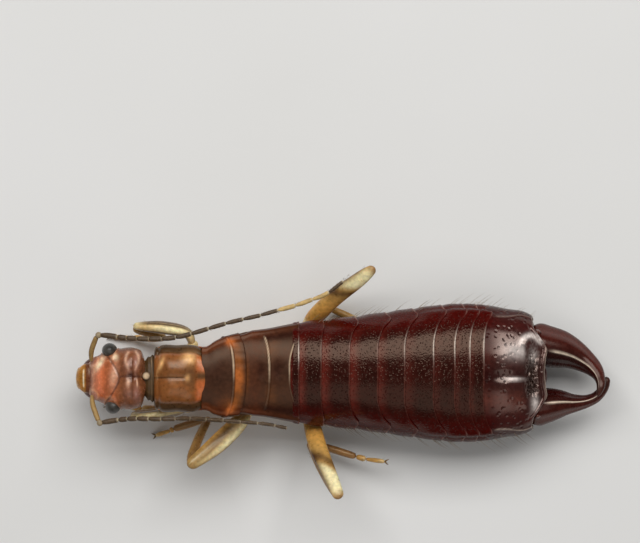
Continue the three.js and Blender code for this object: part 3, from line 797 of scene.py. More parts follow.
def pronotum_surface(u, v):
    angle = (v * 2 - 1) * PRONOTUM_REACH
    turn = np.abs(angle)
    x = PRONOTUM_FRONT + u * (PRONOTUM_REAR - PRONOTUM_FRONT)
    aside = power(np.sin(angle), 0.85) * pronotum_half(x)
    beside = np.abs(aside)
    top = trunk_top(x) - 0.12 * bump(x, 2.4, 0.14) - 0.06 * bump(x, 4.14, 0.1)
    lift = (
        -0.035 * bump(turn, 0.86, 0.14) + 0.03 * bump(turn, 1.25, 0.2)
        + 0.05 * bump(x, 3.0, 0.4, beside, 0.34, 0.28) + 0.05 * bump(x, 3.58, 0.15, beside, 0.58, 0.22)
        - 0.05 * bump(aside, 0.03, 0.03) * window(x, 2.5, 2.65, 3.35, 3.5)
        - 0.045 * bump(x, 3.82, 0.1, aside, 0, 0.5) - 0.03 * bump(x, 2.62, 0.05)
    )
    y = FRONT_LEAN + aside + np.sin(angle) * lift
    z = PRONOTUM_LEVEL + power(np.cos(angle), 0.8) * (top - PRONOTUM_LEVEL) + np.cos(angle) * lift
    flange = fade(turn, 0.7, 0.95)
    disc = 1 - flange
    crescents = fade(x, 3.66, 3.84) * (1 - bump(aside, 0.08, 0.13)) * disc
    streak = bump(x - 0.3 * (aside - 0.42), 2.7, 0.06, aside, 0.45, 0.2)
    return np.stack([x, y, z], -1), {
        "shade": 0.7 * bump(x, 3.6, 0.25, aside, 0.05, 0.35) + 0.35 * bump(x, 2.95, 0.3, aside, 0.25, 0.3)
        + 0.9 * fade(x, 3.75, 3.9) * bump(aside, 0.08, 0.1),
        "warm": 0.9 * crescents + 0.35 * bump(aside, 0.8, 0.1) * disc,
        "fold": 0.92 * flange * (1 - 0.3 * fade(turn, 1.35, 1.55)),
        "edge": 0.8 * bump(aside, 0.03, 0.02) * fade(x, 3.45, 3.3),
        # Painted highlights: a spot towards the right rear of the disc and a streak across its front right;
        # the small pale spot on the middle line is the plate's own colour
        "bright": bump(x, 3.56, 0.2, aside, 0.6, 0.17) + 0.85 * streak
        + 0.6 * bump(x, 3.5, 0.07, aside, 0.02, 0.1),
        "rim": 0.3 * bump(x - 0.1 * fade(aside, 0.1, 0.6), 2.56, 0.018) * disc * fade(aside, -0.2, 0.1)
        + 0.5 * bump(turn, PRONOTUM_REACH, 0.06) + 0.3 * bump(aside, 0.065, 0.015) * fade(x, 3.4, 3.2),
    }


def pronotum():
    heap = Heap()
    plate(heap, pronotum_surface, (64, 90), SHIELD_RIMS, PRONOTUM_THICKNESS)
    heap.piece("pronotum_shield", "pronotum", "orange_brown", "prothorax")


def mesonotum_line(angle):
    """Where the ridge across the mesonotum lies."""
    return MESONOTUM_EDGE - 0.2 * (angle / 1.1) ** 2


def mesonotum_surface(u, v):
    angle = (v * 2 - 1) * WING_REACH
    turn = np.abs(angle)
    rear = mesonotum_line(np.clip(angle, -1.2, 1.2)) + 0.4
    x = MESONOTUM_FRONT + u * (rear - MESONOTUM_FRONT)
    from_line = x - mesonotum_line(angle)
    lift = (
        -0.02 + 0.05 * fade(x, 4.05, 4.4) + 0.02 * bump(x, 4.6, 0.2, turn, 0.5, 0.3)
        + 0.035 * bump(from_line, 0, 0.035) + 0.05 * bump(turn, 1.15, 0.1)
        + 0.004 * np.sin(angle * 26 + x * 6) * fade(from_line, 0.04, 0.1)
    )
    near = fade(turn, 1.2, 1.0)
    right = fade(v, 0.45, 0.56)
    band = window(from_line, 0.0, 0.08, 0.16, 0.42) * (0.85 + 0.15 * np.sin(angle * 19 + 9 * x))
    return trunk_skin(x, angle, lift), {
        "side": 0.8 * fade(turn, 0.7, 1.0) + 0.5 * bump(angle, -0.75, 0.25, x, 4.6, 0.25),
        "fold": 0.5 * bump(turn, 1.28, 0.08) + 0.4 * bump(angle, 0.15, 0.3, x, 4.4, 0.3),
        "warm": near * band * (0.6 + 0.4 * bump(angle, -0.1, 0.4))
        + 0.6 * fade(turn, 0.75, 1.1) * fade(x, 4.9, 4.4)
        + 0.45 * bump(angle, -0.72, 0.22, x, 4.75, 0.25),
        "bright": near * (0.5 * band * bump(angle, -0.08, 0.25)
                          + 0.85 * bump(turn, 0.92, 0.2, from_line, 0.04, 0.13)),
        # A faint pale ridge line, with a painted highlight over its right half
        "rim": bump(from_line, 0, 0.015) * near * (0.08 + 0.75 * right * fade(v, 0.8, 0.7))
        + 0.4 * bump(turn, WING_REACH, 0.05),
    }


def metanotum_surface(u, v):
    angle = (v * 2 - 1) * WING_REACH
    turn = np.abs(angle)
    front = METANOTUM_FRONT - 0.2 * (np.clip(turn, 0, 1.2) / 1.1) ** 2
    rear = METANOTUM_REAR + 0.26 * fade(turn, 0.1, 0.95)
    x = front + u * (rear - front)
    from_line = x - METANOTUM_EDGE + 0.12 * (angle / 0.8) ** 2
    near = fade(turn, 1.0, 0.8)
    right = fade(v, 0.42, 0.56)
    lift = (
        -0.045 + 0.05 * fade(x, 5.25, 5.55) + 0.05 * bump(turn, 1.15, 0.1)
        + 0.03 * bump(from_line, 0, 0.035) * near + 0.02 * bump(rear - x, 0.02, 0.03)
        - 0.03 * bump(x, 6.35, 0.16, angle, 0.03, 0.16)
        - 0.025 * bump(x, 5.8, 0.14, angle, 0, 0.12)
    )
    return trunk_skin(x, angle, lift), {
        "side": 0.5 * fade(turn, 0.7, 1.1) + 0.4 * bump(x, 5.6, 0.25),
        "warm": 0.2 * bump(x, 6.1, 0.2, turn, 0.5, 0.3) + 0.55 * fade(x, 5.5, 5.3) * bump(angle, -0.05, 0.4),
        "fold": 0.8 * bump(x, 6.32, 0.2, angle, 0.05, 0.2) + 0.8 * bump(x, 5.78, 0.14, angle, 0.05, 0.14)
        + 0.85 * bump(turn, 0.85, 0.13) * fade(x, 5.7, 6.0),
        # A faint pale ridge line and rear edge, with a painted highlight over their right half
        "rim": near * (0.06 + 0.8 * right) * (bump(from_line, 0, 0.016) + 0.8 * bump(rear - x, 0.015, 0.02))
        + 0.4 * bump(turn, WING_REACH, 0.05),
    }


def thorax_plates():
    heap = Heap()
    for surface in (mesonotum_surface, metanotum_surface):
        plate(heap, surface, (64, 90), SHIELD_RIMS, WING_THICKNESS)
    heap.piece("thorax_plates", "thorax", "grey_brown", "mesothorax", "metathorax")


# Plates of the thorax's sides, each by its middle along the body, its angle from the top, its half sizes,
# how much its rear end rises, and how warm, pale and dark it is
SIDE_PLATES = [
    (2.86, 1.74, 0.28, 0.2, 0.0, (1.0, 0.1, 0.0)),
    (3.12, 1.7, 0.22, 0.07, 0.0, (0.0, 0.0, 1.0)),
    (3.75, 1.64, 0.3, 0.13, 0.0, (0.8, 0.0, 0.0)),
    (3.5, 2.02, 0.6, 0.22, 0.12, (0.8, 0.3, 0.0)),
    (4.4, 1.66, 0.44, 0.13, 0.0, (0.9, 0.0, 0.0)),
    (4.4, 1.98, 0.44, 0.17, 0.14, (0.3, 0.0, 0.5)),
    (4.4, 2.36, 0.4, 0.2, 0.1, (0.5, 0.7, 0.0)),
    (5.02, 2.22, 0.3, 0.3, -0.1, (0.2, 1.0, 0.0)),
    (5.22, 1.72, 0.38, 0.17, 0.0, (0.3, 0.0, 0.5)),
    (5.94, 1.7, 0.3, 0.15, 0.0, (0.2, 0.0, 0.7)),
    (6.44, 1.7, 0.3, 0.18, 0.05, (0.5, 0.0, 0.3)),
    (6.16, 2.02, 0.58, 0.14, 0.22, (0.1, 0.0, 1.0)),
    (6.0, 2.36, 0.46, 0.2, 0.15, (0.4, 0.9, 0.0)),
]
# Plates under the thorax, each by its front and rear ends and its half width as an angle
BREAST_PLATES = [(2.75, 3.9, 0.62), (4.15, 5.3, 0.7), (5.45, 6.85, 0.66)]


def thorax_sides():
    heap = Heap()
    x, angle = grid(np.linspace(2.62, 6.9, 80), turns(96))
    from_top = around(angle, 0)
    pleats = 0.025 * np.sin(x * 9 + 2 * from_top) * np.sin(angle * 5)
    capped(heap, trunk_skin(x, angle, -0.12 + pleats), pale=0.5 * fade(from_top, 2.1, 2.4),
           warm=0.4 * fade(x, 4.3, 4.0), fold=0.85 * fade(from_top, 2.2, 1.9))
    for middle, place, long, wide, rise, (warm, pale, dark) in SIDE_PLATES:
        for side in (-1, 1):

            def surface(u, v):
                ahead, across = 2 * u - 1, 2 * v - 1
                corner = 1 - 0.4 * fade(u, 0.65, 1.0) - 0.2 * fade(u, 0.2, 0.0)
                lift = -0.03 + 0.03 * corner - 0.025 * across**2
                edge = np.maximum(bump(np.abs(across), 0.92, 0.06), bump(np.abs(ahead), 0.94, 0.05))
                turn = side * (place - rise * ahead + across * wide * corner)
                return trunk_skin(middle + ahead * long, turn, lift), {
                    "warm": warm, "pale": pale, "fold": dark, "rim": (0.1 + 0.2 * pale) * edge,
                }

            plate(heap, surface, (22, 22), (0.06, 0.06, 0.06), SIDE_THICKNESS)
    for front, rear, wide in BREAST_PLATES:

        def breast(u, v):
            aside = 2 * v - 1
            turn = np.pi - aside * wide * (1 - 0.35 * bump(u, 1, 0.4))
            return trunk_skin(front + u * (rear - front), turn, -0.04 * aside**2), {
                "warm": 0.5, "pale": 0.9, "rim": 0.5 * bump(1 - u, 0, 0.05),
            }

        plate(heap, breast, (20, 24), (0.05, 0.05, 0.05), BREAST_THICKNESS)
    heap.piece("thorax_sides", "pleura", "grey_brown")


def neck():
    heap = Heap()

    def section(share, angle):
        return 1 + 0.03 * np.sin(share * 40) + 0.015 * np.cos(angle * 8)

    def marks(share, angle):
        # Painted shade darkens the whole neck between head and pronotum; the collar is a faint pale line with
        # a painted glint on its right side
        collar_and_glint = bump(share, 0.47, 0.014) * (0.25 + 0.75 * stripe(angle, 0.7, 0.3))
        return {"dark": 0.9 * (1 - collar_and_glint), "pale": 0.5 * collar_and_glint}

    def knob_marks(points):
        # The knob is pale on top, and half darkened by the same painted shade
        return {"pale": 0.95 * fade(points[..., 2], 2.6, 2.65), "dark": 0.5}

    girth = [(0, 0.64), (0.3, 0.76), (0.6, 0.86), (1, 0.84)]
    tube(heap, [(1.95, FRONT_LEAN, 2.28), (2.85, FRONT_LEAN, 2.24)], girth, 90, 60, 0.46, section, marks)
    ball(heap, (2.22, -0.09, 2.585), (0.13, 0.13, 0.06), marks=knob_marks)
    heap.piece("neck_folds", "membrane", "membrane", "neck")


pronotum()
thorax_plates()
thorax_sides()
neck()


# Head

HEAD_ENDS = (0.27, 2.25)
head_half = smooth([
    (0.3, 0.46), (0.55, 0.62), (0.9, 0.8), (1.4, 0.93), (1.85, 0.95), (2.1, 0.82), (2.22, 0.62),
])
head_top = smooth([(0.3, 1.86), (0.55, 2.08), (1.0, 2.5), (1.45, 2.72), (1.9, 2.84), (2.22, 2.74)])
head_bottom = smooth([(0.3, 1.56), (0.8, 1.5), (1.4, 1.6), (1.9, 1.74), (2.22, 1.98)])


def head_skin(x, angle, raised=0.0):
    """Points of the head's skin, with the angle from the top as on the trunk."""
    out = np.sin(angle)
    up = np.cos(angle)
    middle = (head_top(x) + head_bottom(x)) / 2
    height = (head_top(x) - head_bottom(x)) / 2
    y = FRONT_LEAN + power(out, 0.85) * head_half(x) + out * raised
    z = middle + power(up, 0.9) * height + up * raised
    return np.stack([x + 0 * out, y, z], -1)


def head_capsule():
    heap = Heap()
    shares = steps(90, 0.02, 0.02)
    line = HEAD_ENDS[0] + (HEAD_ENDS[1] - HEAD_ENDS[0]) * shares
    x, angle = grid(line, turns(140))
    base = head_skin(x, angle)
    z = base[..., 2]
    aside = base[..., 1] - FRONT_LEAN
    beside = np.abs(aside)
    above = fade(np.cos(angle), 0.0, 0.35)
    suture = 1.38 - 0.4 * (beside / 0.75) ** 1.4
    stem = bump(aside, 0.06, 0.03) * fade(x, 1.36, 1.46)
    arms = bump(x - suture, 0, 0.035) * fade(beside, 0.85, 0.6)
    groove = above * np.maximum(arms, stem)
    front_lobe = above * bump(x, 1.63, 0.13, beside, 0.42, 0.3)
    rear_lobe = above * bump(x, 1.92, 0.13, beside, 0.48, 0.26)
    between = above * bump(x, 1.77, 0.05) * fade(beside, 0.7, 0.5)
    dimple = above * bump(x, 1.74, 0.1, aside, 0.08, 0.1)
    eye_x = EYE_PLACE[0] - EYE_AHEAD * fade(aside, -0.3, 0.3)
    eye_reach = np.hypot((x - eye_x) / EYE_SIZE[0], (z - EYE_PLACE[2]) / EYE_SIZE[2])
    eye_reach = eye_reach + 4 * fade(0.5 - beside, -0.05, 0.1)
    from_scape = np.linalg.norm(np.stack([x, beside, z], -1) - SCAPE_ROOT, axis=-1)
    cheek = bump(around(angle, 0), np.pi / 2 + 0.45, 0.2)
    brow = bump(x + 0.1 * (beside / 0.6) ** 2, 1.0, 0.05) * fade(beside, 0.8, 0.6)
    # Painted highlights on the head: a pale patch on the crown, crescents round the right lobes, spots on the
    # left lobes and a streak on the frons
    crown = bump(x - 0.12 * aside, 1.2, 0.11, aside, 0.08, 0.32)
    streak = bump(x - 0.5 * (aside - 0.42), 0.76, 0.09, aside, 0.44, 0.2)
    crescents = bump(np.hypot((x - 1.79) / 0.21, (aside - 0.56) / 0.28), 1.0, 0.2)
    crescents = crescents * fade(np.abs(x - 1.79), 0.05, 0.15)
    spot_highlights = bump(aside, -0.13, 0.11) * (bump(x, 1.66, 0.06) + 1.3 * bump(x, 1.97, 0.03))
    dome = above * bump(x, 0.82, 0.24, aside, 0, 0.4)
    lift = (
        0.06 * front_lobe + 0.06 * rear_lobe - 0.02 * between - 0.035 * groove - 0.05 * dimple + 0.05 * dome
        + 0.03 * bump(eye_reach, 1.12, 0.14) + 0.035 * bump(from_scape, 0.17, 0.04) + 0.03 * cheek
        - 0.05 * bump(x, 0.42, 0.06) * above
    )
    points = head_skin(x, angle, lift)
    centre = np.stack([line, FRONT_LEAN + 0 * line, (head_top(line) + head_bottom(line)) / 2], -1)[:, None, :]
    points = centre + (points - centre) * roundness(shares, 0.16, 0.1)[:, None, None]
    points[..., 0] -= 0.1 * bump(aside, 0.1, 0.4) * fade(x, 1.8, 2.2) * above
    heap.add(
        points, quads(*x.shape, closed=True),
        warm=above * (bump(x, 0.78, 0.22) * fade(beside, 0.8, 0.5) + 0.4 * bump(x, 1.2, 0.15))
        + 0.5 * cheek + 0.6 * (1 - above) * fade(x, 1.0, 0.6),
        lobe=0.8 * np.maximum(front_lobe * 0.5, rear_lobe),
        bright=above * (0.6 * crown + 0.6 * crescents + 0.7 * spot_highlights + 0.2 * bump(x, 0.56, 0.05)),
        shine=above * (streak + 0.8 * bump(x, 1.26, 0.09, aside, 0.66, 0.1)),
        fold=0.8 * groove + 0.9 * dimple + 0.4 * between
        # with a faint darkening along the brow and a darker patch at the left front of the frons
        + above * (0.15 * brow + 0.45 * bump(x, 0.74, 0.16, aside, -0.6, 0.16)),
        dark=0.95 * bump(x, 0.38, 0.12) * above + 0.5 * fade(np.cos(angle), -0.3, -0.8),
        rim=0.9 * bump(eye_reach, 1.08, 0.09) * (1 - 0.75 * above) + 0.4 * bump(from_scape, 0.19, 0.05),
    )
    heap.piece("head_capsule", "head", "red_brown", "head")


SIDES = {"left": -1, "right": 1}


def eyes():
    for name, side in SIDES.items():
        heap = Heap()
        centre = (EYE_PLACE[0] - EYE_AHEAD * max(side, 0), FRONT_LEAN + side * EYE_PLACE[1], EYE_PLACE[2])
        ball(heap, centre, EYE_SIZE, 48, 64)
        heap.piece(f"eye_facets_{name}", "eye", "eye", f"eye_{name}")


def clypeus():
    heap = Heap()

    def marks(points):
        x = points[..., 0]
        aside = np.abs(points[..., 1] - FRONT_LEAN)
        return {
            # A painted highlight low at the front
            "pale": 0.7 * fade(points[..., 2], 1.72, 1.55) * fade(x, 0.3, 0.2),
            "fold": 0.9 * fade(x, 0.29, 0.36),
            # A painted highlight in a line across the clypeus
            "rim": bump(x - 0.12 * aside**2, 0.26, 0.02) * fade(aside, 0.32, 0.22),
        }

    ball(heap, (0.42, FRONT_LEAN, 1.72), (0.42, 0.47, 0.22), 60, 80, tilt=-22, marks=marks)
    heap.piece("clypeus_shield", "lip", "pale_yellow", "clypeus")


def labrum():
    heap = Heap()

    def lobed(points):
        return 1 - 0.12 * bump(points[..., 1], 0, 0.3) * fade(points[..., 2], -0.2, -0.9)

    def marks(points):
        # Paler at the top as a painted highlight, warmer below
        return {"warm": 0.6 * fade(points[..., 2], 1.4, 1.0), "pale": 0.5 * fade(points[..., 2], 1.3, 1.5)}

    ball(heap, (0.13, FRONT_LEAN, 1.22), (0.11, 0.34, 0.37), 40, 50, 0.95, -4, lobed, marks)
    heap.piece("labrum_flap", "lip", "pale_yellow", "labrum")


def beside_middle(side, places):
    """Places of one side of the head, given by their distance from its middle line."""
    return [(x, FRONT_LEAN + side * out, z) for x, out, z in places]


def mouthparts():
    for name, side in SIDES.items():
        heap = Heap()
        jaw = [(0.98, 0.44, 1.62), (0.62, 0.46, 1.48), (0.4, 0.34, 1.3), (0.27, 0.1, 1.16)]
        tube(heap, beside_middle(side, jaw), [(0, 0.17), (0.4, 0.2), (0.75, 0.14), (1, 0.04)], 40, 24, 1.3)
        for step in (0.1, 0.2):
            tooth = [(0.42 - step * 0.5, 0.2 - step * 0.4, 1.2), (0.36 - step * 0.4, 0.06 - step * 0.2, 1.07)]
            tube(heap, beside_middle(side, tooth), [(0, 0.05), (1, 0.012)], 8, 10)
        heap.piece(f"mandible_jaw_{name}", "jaw", "dark_brown", f"mandible_{name}")

        heap = Heap()
        stem = [(1.76, 0.42, 1.74), (1.32, 0.5, 1.56), (0.92, 0.5, 1.36)]
        tube(heap, beside_middle(side, stem), [(0, 0.14), (0.5, 0.19), (1, 0.14)], 24, 20, 0.75)
        lobe = [(1.0, 0.4, 1.36), (0.68, 0.34, 1.2), (0.42, 0.26, 1.04)]
        tube(heap, beside_middle(side, lobe), [(0, 0.11), (0.5, 0.12), (1, 0.035)], 20, 16, 0.7)
        feeler = [(1.02, 0.55, 1.36), (0.92, 0.59, 1.25), (0.82, 0.59, 1.12), (0.72, 0.55, 0.96),
                  (0.6, 0.5, 0.82), (0.49, 0.45, 0.68)]
        palp(heap, side, 0.07, feeler)
        heap.piece(f"maxilla_palp_{name}", "palp", "orange_brown", f"maxilla_{name}")


def palp(heap, side, thick, places):
    """A jointed feeler by the mouth, with a golden last joint."""
    joints = beside_middle(side, places)
    for index, (start, end) in enumerate(zip(joints, joints[1:])):
        wide = thick * (1 - 0.06 * index)
        golden = 0.75 * (index == len(joints) - 2)
        tube(heap, [start, end], [(0, wide * 0.7), (0.6, wide), (1, wide * 0.85)], 12, 14,
             marks=lambda share, angle: {"tip": 0.15 + golden * fade(share, 0.3, 0.8)})


def labium():
    heap = Heap()
    body = [(1.72, 0, 1.7), (1.2, 0, 1.36), (0.78, 0, 1.04)]
    tube(heap, beside_middle(1, body), [(0, 0.24), (0.5, 0.26), (0.8, 0.2), (1, 0.12)], 36, 30, 0.42)
    for side in SIDES.values():
        lobe = [(0.84, 0.07, 1.06), (0.6, 0.07, 0.92)]
        tube(heap, beside_middle(side, lobe), [(0, 0.08), (0.6, 0.08), (1, 0.04)], 12, 14, 0.7)
        feeler = [(0.98, 0.2, 1.18), (0.84, 0.27, 1.04), (0.7, 0.27, 0.9), (0.55, 0.22, 0.76)]
        palp(heap, side, 0.055, feeler)
    heap.piece("labium_palps", "palp", "orange_brown", "labium")


head_capsule()
eyes()
clypeus()
labrum()
mouthparts()
labium()


# Antennae: a long first joint, a knob, then joints that get longer, each with a pale ring at its end

# The routes of the first joint and of the rest, and which joints are pale
ANTENNAE = {
    "left": (
        [(0.52, -0.7, 2.08), (0.56, -1.0, 2.34), (0.74, -1.5, 2.64)],
        [(0.78, -1.55, 2.7), (1.28, -1.47, 2.78), (1.75, -1.42, 2.9), (2.22, -1.42, 3.05),
         (2.69, -1.43, 3.15), (3.16, -1.42, 3.12), (3.41, -1.41, 3.01), (3.8, -1.42, 2.8),
         (4.5, -1.47, 2.54), (5.3, -1.53, 2.3), (6.0, -1.6, 2.12), (6.6, -1.72, 1.98)],
        [],
    ),
    "right": (
        [(0.5, 0.36, 2.08), (0.52, 0.7, 2.34), (0.68, 1.14, 2.68)],
        [(0.74, 1.18, 2.74), (1.1, 1.16, 2.82), (1.53, 1.1, 2.84), (2.31, 1.06, 2.82), (3.09, 1.1, 2.8),
         (3.72, 1.25, 2.78), (4.12, 1.37, 2.76), (4.66, 1.53, 2.72), (5.22, 1.67, 2.69), (5.75, 1.79, 2.67),
         (6.28, 1.94, 2.65), (6.9, 2.11, 2.63), (7.34, 2.27, 2.62), (7.78, 2.44, 2.62), (8.56, 3.02, 2.64)],
        [12, 13, 14],
    ),
}
JOINT_LENGTHS = [0.56, 0.28, 0.32, 0.38, 0.4, 0.44, 0.5] + [0.56] * 9
SMALL_JOINT = 0.15


def antenna(name, scape, whip, pale_joints):
    heap = Heap()
    tube(heap, scape, [(0, 0.05), (0.12, 0.065), (0.6, 0.085), (1, 0.075)], 30, 24,
         marks=lambda share, angle: {"base": 0.7 + 0.25 * share, "pale": 0.4 * bump(angle, np.pi / 2, 0.8)})
    ball(heap, whip[0], (0.1, 0.1, 0.1), marks={"base": 0.4, "ring": 0.35})
    heap.piece(f"antenna_scape_{name}", "antenna", "pale_yellow", f"antenna_{name}_scape")
    heap = Heap()
    route = spline(whip, WHIP_STATIONS)
    run = lengths_along(route)
    start = 0.05
    for index, length in enumerate(JOINT_LENGTHS):
        if start > run[-1] - SMALL_JOINT:
            break
        pale = index in pale_joints

        def marks(share, angle):
            return {"base": 0.15, "pale": 0.95 * pale, "ring": 0.85 * bump(share, 0.98, 0.06)}

        end = min(start + length, run[-1])
        stops = resample(route, np.linspace(start - 0.02, end, 6) / run[-1])
        thick = (0.086 - 0.034 * end / run[-1]) * (1.2 if pale else 1.0)
        girth = [(0, thick * 0.62), (0.2, thick * 0.9), (0.75, thick), (0.92, thick * 0.94), (1, thick * 0.7)]
        tube(heap, stops, girth, 24, 18, marks=marks)
        start = end
    nodes = [f"antenna_{name}_flagellum_{part}" for part in (1, 2, 3)]
    heap.piece(f"antenna_whip_{name}", "antenna", "grey_brown", *nodes)
    return route


antenna_routes = [antenna(name, *parts) for name, parts in ANTENNAE.items()]


# Legs

def hind_marks(dark_side):
    """Golden to the middle, then a slanting dark band and a pale end, darker down one side."""

    def marks(share, angle):
        edge = stripe(angle, dark_side, 0.8)
        place = share + 0.08 * np.cos(angle - dark_side)
        return {
            "warm": 0.75 * fade(place, 0.56, 0.3),
            "rim": 0.95 * fade(place, 0.64, 0.74) * fade(share, 1.02, 0.9) * (1 - 0.8 * edge)
            + 0.7 * bump(share, 0.1, 0.03),
            "ring": 0.75 * bump(place, 0.6, 0.055) + 0.8 * edge * window(share, 0.45, 0.6, 0.85, 0.98),
            "brown": 0.7 * bump(share, 1.0, 0.035),
        }

    return marks


def mid_marks(share, angle):
    """Brown along the front, pale along the rear, with a fine pale line between."""
    streak = stripe(angle, np.pi / 2 - 0.1 - 0.9 * (share - 0.6), 0.16, share, 0.62, 0.25)
    return {
        "warm": 0.7 * fade(share, 0.3, 0.0) + 0.6 * fade(around(angle, -np.pi / 2), 1.2, 0.8)
        + 0.5 * fade(around(angle, np.pi), 0.7, 0.3),
        "olive": 0.45 * fade(share, 0.6, 0.9),
        "rim": 0.95 * stripe(angle, 0.85, 0.55, share, 0.4, 0.4) * fade(share, 0.97, 0.85)
        + 0.4 * stripe(angle, np.pi / 2 + 0.3, 0.08),
        "brown": 0.6 * streak,
        "ring": 0.95 * bump(share, 0.5, 0.36)
        * (stripe(angle, 1.84, 0.5) + stripe(angle, -0.1, 0.45)),
    }


def fore_marks(bright):
    """Pale above, with dark streaks along both sides; the pale top is partly a painted highlight, in full on
    the lit right leg.
    """

    def marks(share, angle):
        side = np.minimum(around(angle, 0), around(angle, np.pi))
        top = stripe(angle, np.pi / 2, 0.8)
        middle, reach = (0.4, 0.35) if bright > 0.5 else (0.5, 0.6)
        lines = bump(side, 0.16, 0.06) + bump(side, 0.6, 0.07)
        return {
            "olive": 0.75 * (1 - bright * top),
            # Paler on top, partly as a painted highlight
            "rim": (0.35 + 0.65 * bright) * top * bump(share, middle, reach) + 0.5 * bump(share, 0.96, 0.08),
            "ring": 0.95 * fade(side, 1.1, 0.8) * (1 - 0.7 * lines) * window(share, 0.12, 0.3, 0.75, 0.9),
        }

    return marks


def shin_marks(share, angle):
    """Dark above, pale below."""
    return {
        "ring": 0.6 * stripe(angle, np.pi / 2, 1.1) * fade(share, 1.1, 0.8),
        "rim": 0.45 * stripe(angle, -np.pi / 2, 0.9),
        "brown": 0.35,
    }


def pale_shin_marks(share, angle):
    return {"olive": 0.5, "warm": 0.3, "brown": 0.3 * bump(share, 0.3, 0.3)}


def foot_marks(share, angle):
    return {"warm": 0.6, "olive": 0.3, "rim": 0.35 * fade(share, 0.6, 1)}


BROWN_FOOT = {"warm": 0.3, "brown": 0.8}
BROWN_FEET = ("hind_left", "mid_left")
SHIN_GIRTH = [(0, 0.1), (0.08, 0.13), (0.4, 0.145), (0.85, 0.13), (1, 0.12)]
# The half widths of the three joints of a foot, at the start, at the widest and at the tip
FOOT_GIRTHS = [(0.08, 0.115, 0.1), (0.06, 0.09, 0.085), (0.05, 0.068, 0.055)]

# Each leg: its root by middle, half sizes and tilt; its thigh by route, half widths, height over width and
# markings; its shin by route and markings; and the ends of the joints of its foot
LEGS = {
    "fore_left": (
        ((3.7, -0.74, 1.5), (0.42, 0.34, 0.34), 30),
        ([(3.5, -1.08, 1.4), (3.1, -1.2, 1.52), (2.4, -1.32, 1.6), (1.72, -1.36, 1.5)],
         [(0, 0.1), (0.15, 0.14), (0.5, 0.15), (0.85, 0.13), (1, 0.11)], 2.3, fore_marks(0.25)),
        ([(1.74, -1.35, 1.42), (2.3, -1.27, 1.04), (2.84, -1.18, 0.66)], pale_shin_marks),
        [(2.84, -1.18, 0.58), (2.06, -1.12, 0.3), (1.72, -1.08, 0.2), (1.0, -1.02, 0.1)],
    ),
    "fore_right": (
        ((3.74, 0.46, 1.5), (0.42, 0.36, 0.34), 30),
        ([(3.66, 0.86, 1.4), (3.5, 1.22, 1.46), (2.8, 1.4, 1.56), (1.8, 1.46, 1.48)],
         [(0, 0.1), (0.15, 0.15), (0.5, 0.2), (0.85, 0.15), (1, 0.1)], 1.5, fore_marks(1.0)),
        ([(1.82, 1.4, 1.4), (2.3, 1.24, 1.04), (2.8, 1.08, 0.66)], pale_shin_marks),
        [(2.8, 1.07, 0.58), (2.1, 1.08, 0.3), (1.78, 1.08, 0.2), (1.1, 1.12, 0.1)],
    ),
    "mid_left": (
        ((5.3, -0.86, 1.14), (0.56, 0.36, 0.34), 32),
        ([(5.4, -1.22, 1.3), (5.06, -1.6, 1.56), (4.35, -2.28, 1.95), (3.52, -2.92, 2.22)],
         [(0, 0.14), (0.1, 0.22), (0.45, 0.3), (0.8, 0.24), (1, 0.17)], 0.66, mid_marks),
        ([(3.56, -2.8, 2.1), (3.84, -2.06, 1.42), (4.15, -1.4, 0.8)], shin_marks),
        [(4.1, -1.44, 0.72), (3.05, -1.76, 0.5), (2.94, -1.82, 0.44), (2.5, -1.96, 0.14)],
    ),
    "mid_right": (
        ((5.34, 0.46, 1.08), (0.5, 0.34, 0.32), 28),
        ([(5.5, 0.66, 0.86), (5.1, 0.72, 0.95), (4.7, 0.72, 1.06), (4.3, 0.66, 1.14)],
         [(0, 0.12), (0.15, 0.19), (0.5, 0.22), (0.85, 0.18), (1, 0.14)], 0.8, mid_marks),
        ([(4.3, 0.7, 1.06), (4.75, 0.86, 0.66), (5.2, 0.98, 0.28)], pale_shin_marks),
        [(5.2, 1.0, 0.22), (5.85, 1.08, 0.16), (6.1, 1.1, 0.14), (6.62, 1.18, 0.1)],
    ),
    "hind_left": (
        ((6.72, -0.94, 0.66), (0.58, 0.38, 0.36), 28),
        ([(7.2, -1.2, 0.5), (7.36, -1.6, 0.95), (7.56, -2.3, 1.75), (7.9, -3.1, 2.45), (8.24, -3.9, 2.98)],
         [(0, 0.14), (0.12, 0.23), (0.4, 0.28), (0.7, 0.24), (0.9, 0.2), (1, 0.17)], 0.66, hind_marks(np.pi)),
        ([(8.18, -3.86, 2.88), (7.68, -3.0, 1.72), (7.3, -2.2, 0.54)], shin_marks),
        [(7.4, -2.2, 0.5), (8.75, -2.62, 0.7), (9.06, -2.7, 0.78), (9.64, -2.77, 1.02)],
    ),
    "hind_right": (
        ((6.7, 0.94, 0.66), (0.56, 0.4, 0.36), 28),
        ([(7.14, 1.34, 0.5), (7.42, 1.68, 0.9), (8.1, 2.36, 1.66), (8.78, 2.86, 2.2), (9.32, 3.28, 2.6)],
         [(0, 0.14), (0.12, 0.24), (0.4, 0.27), (0.7, 0.25), (0.9, 0.2), (1, 0.13)], 0.66, hind_marks(0)),
        ([(9.22, 3.26, 2.5), (8.46, 2.72, 1.5), (7.8, 2.1, 0.42)], shin_marks),
        [(7.86, 2.04, 0.34), (8.8, 1.62, 0.18), (9.1, 1.5, 0.14), (9.6, 1.34, 0.1)],
    ),
}


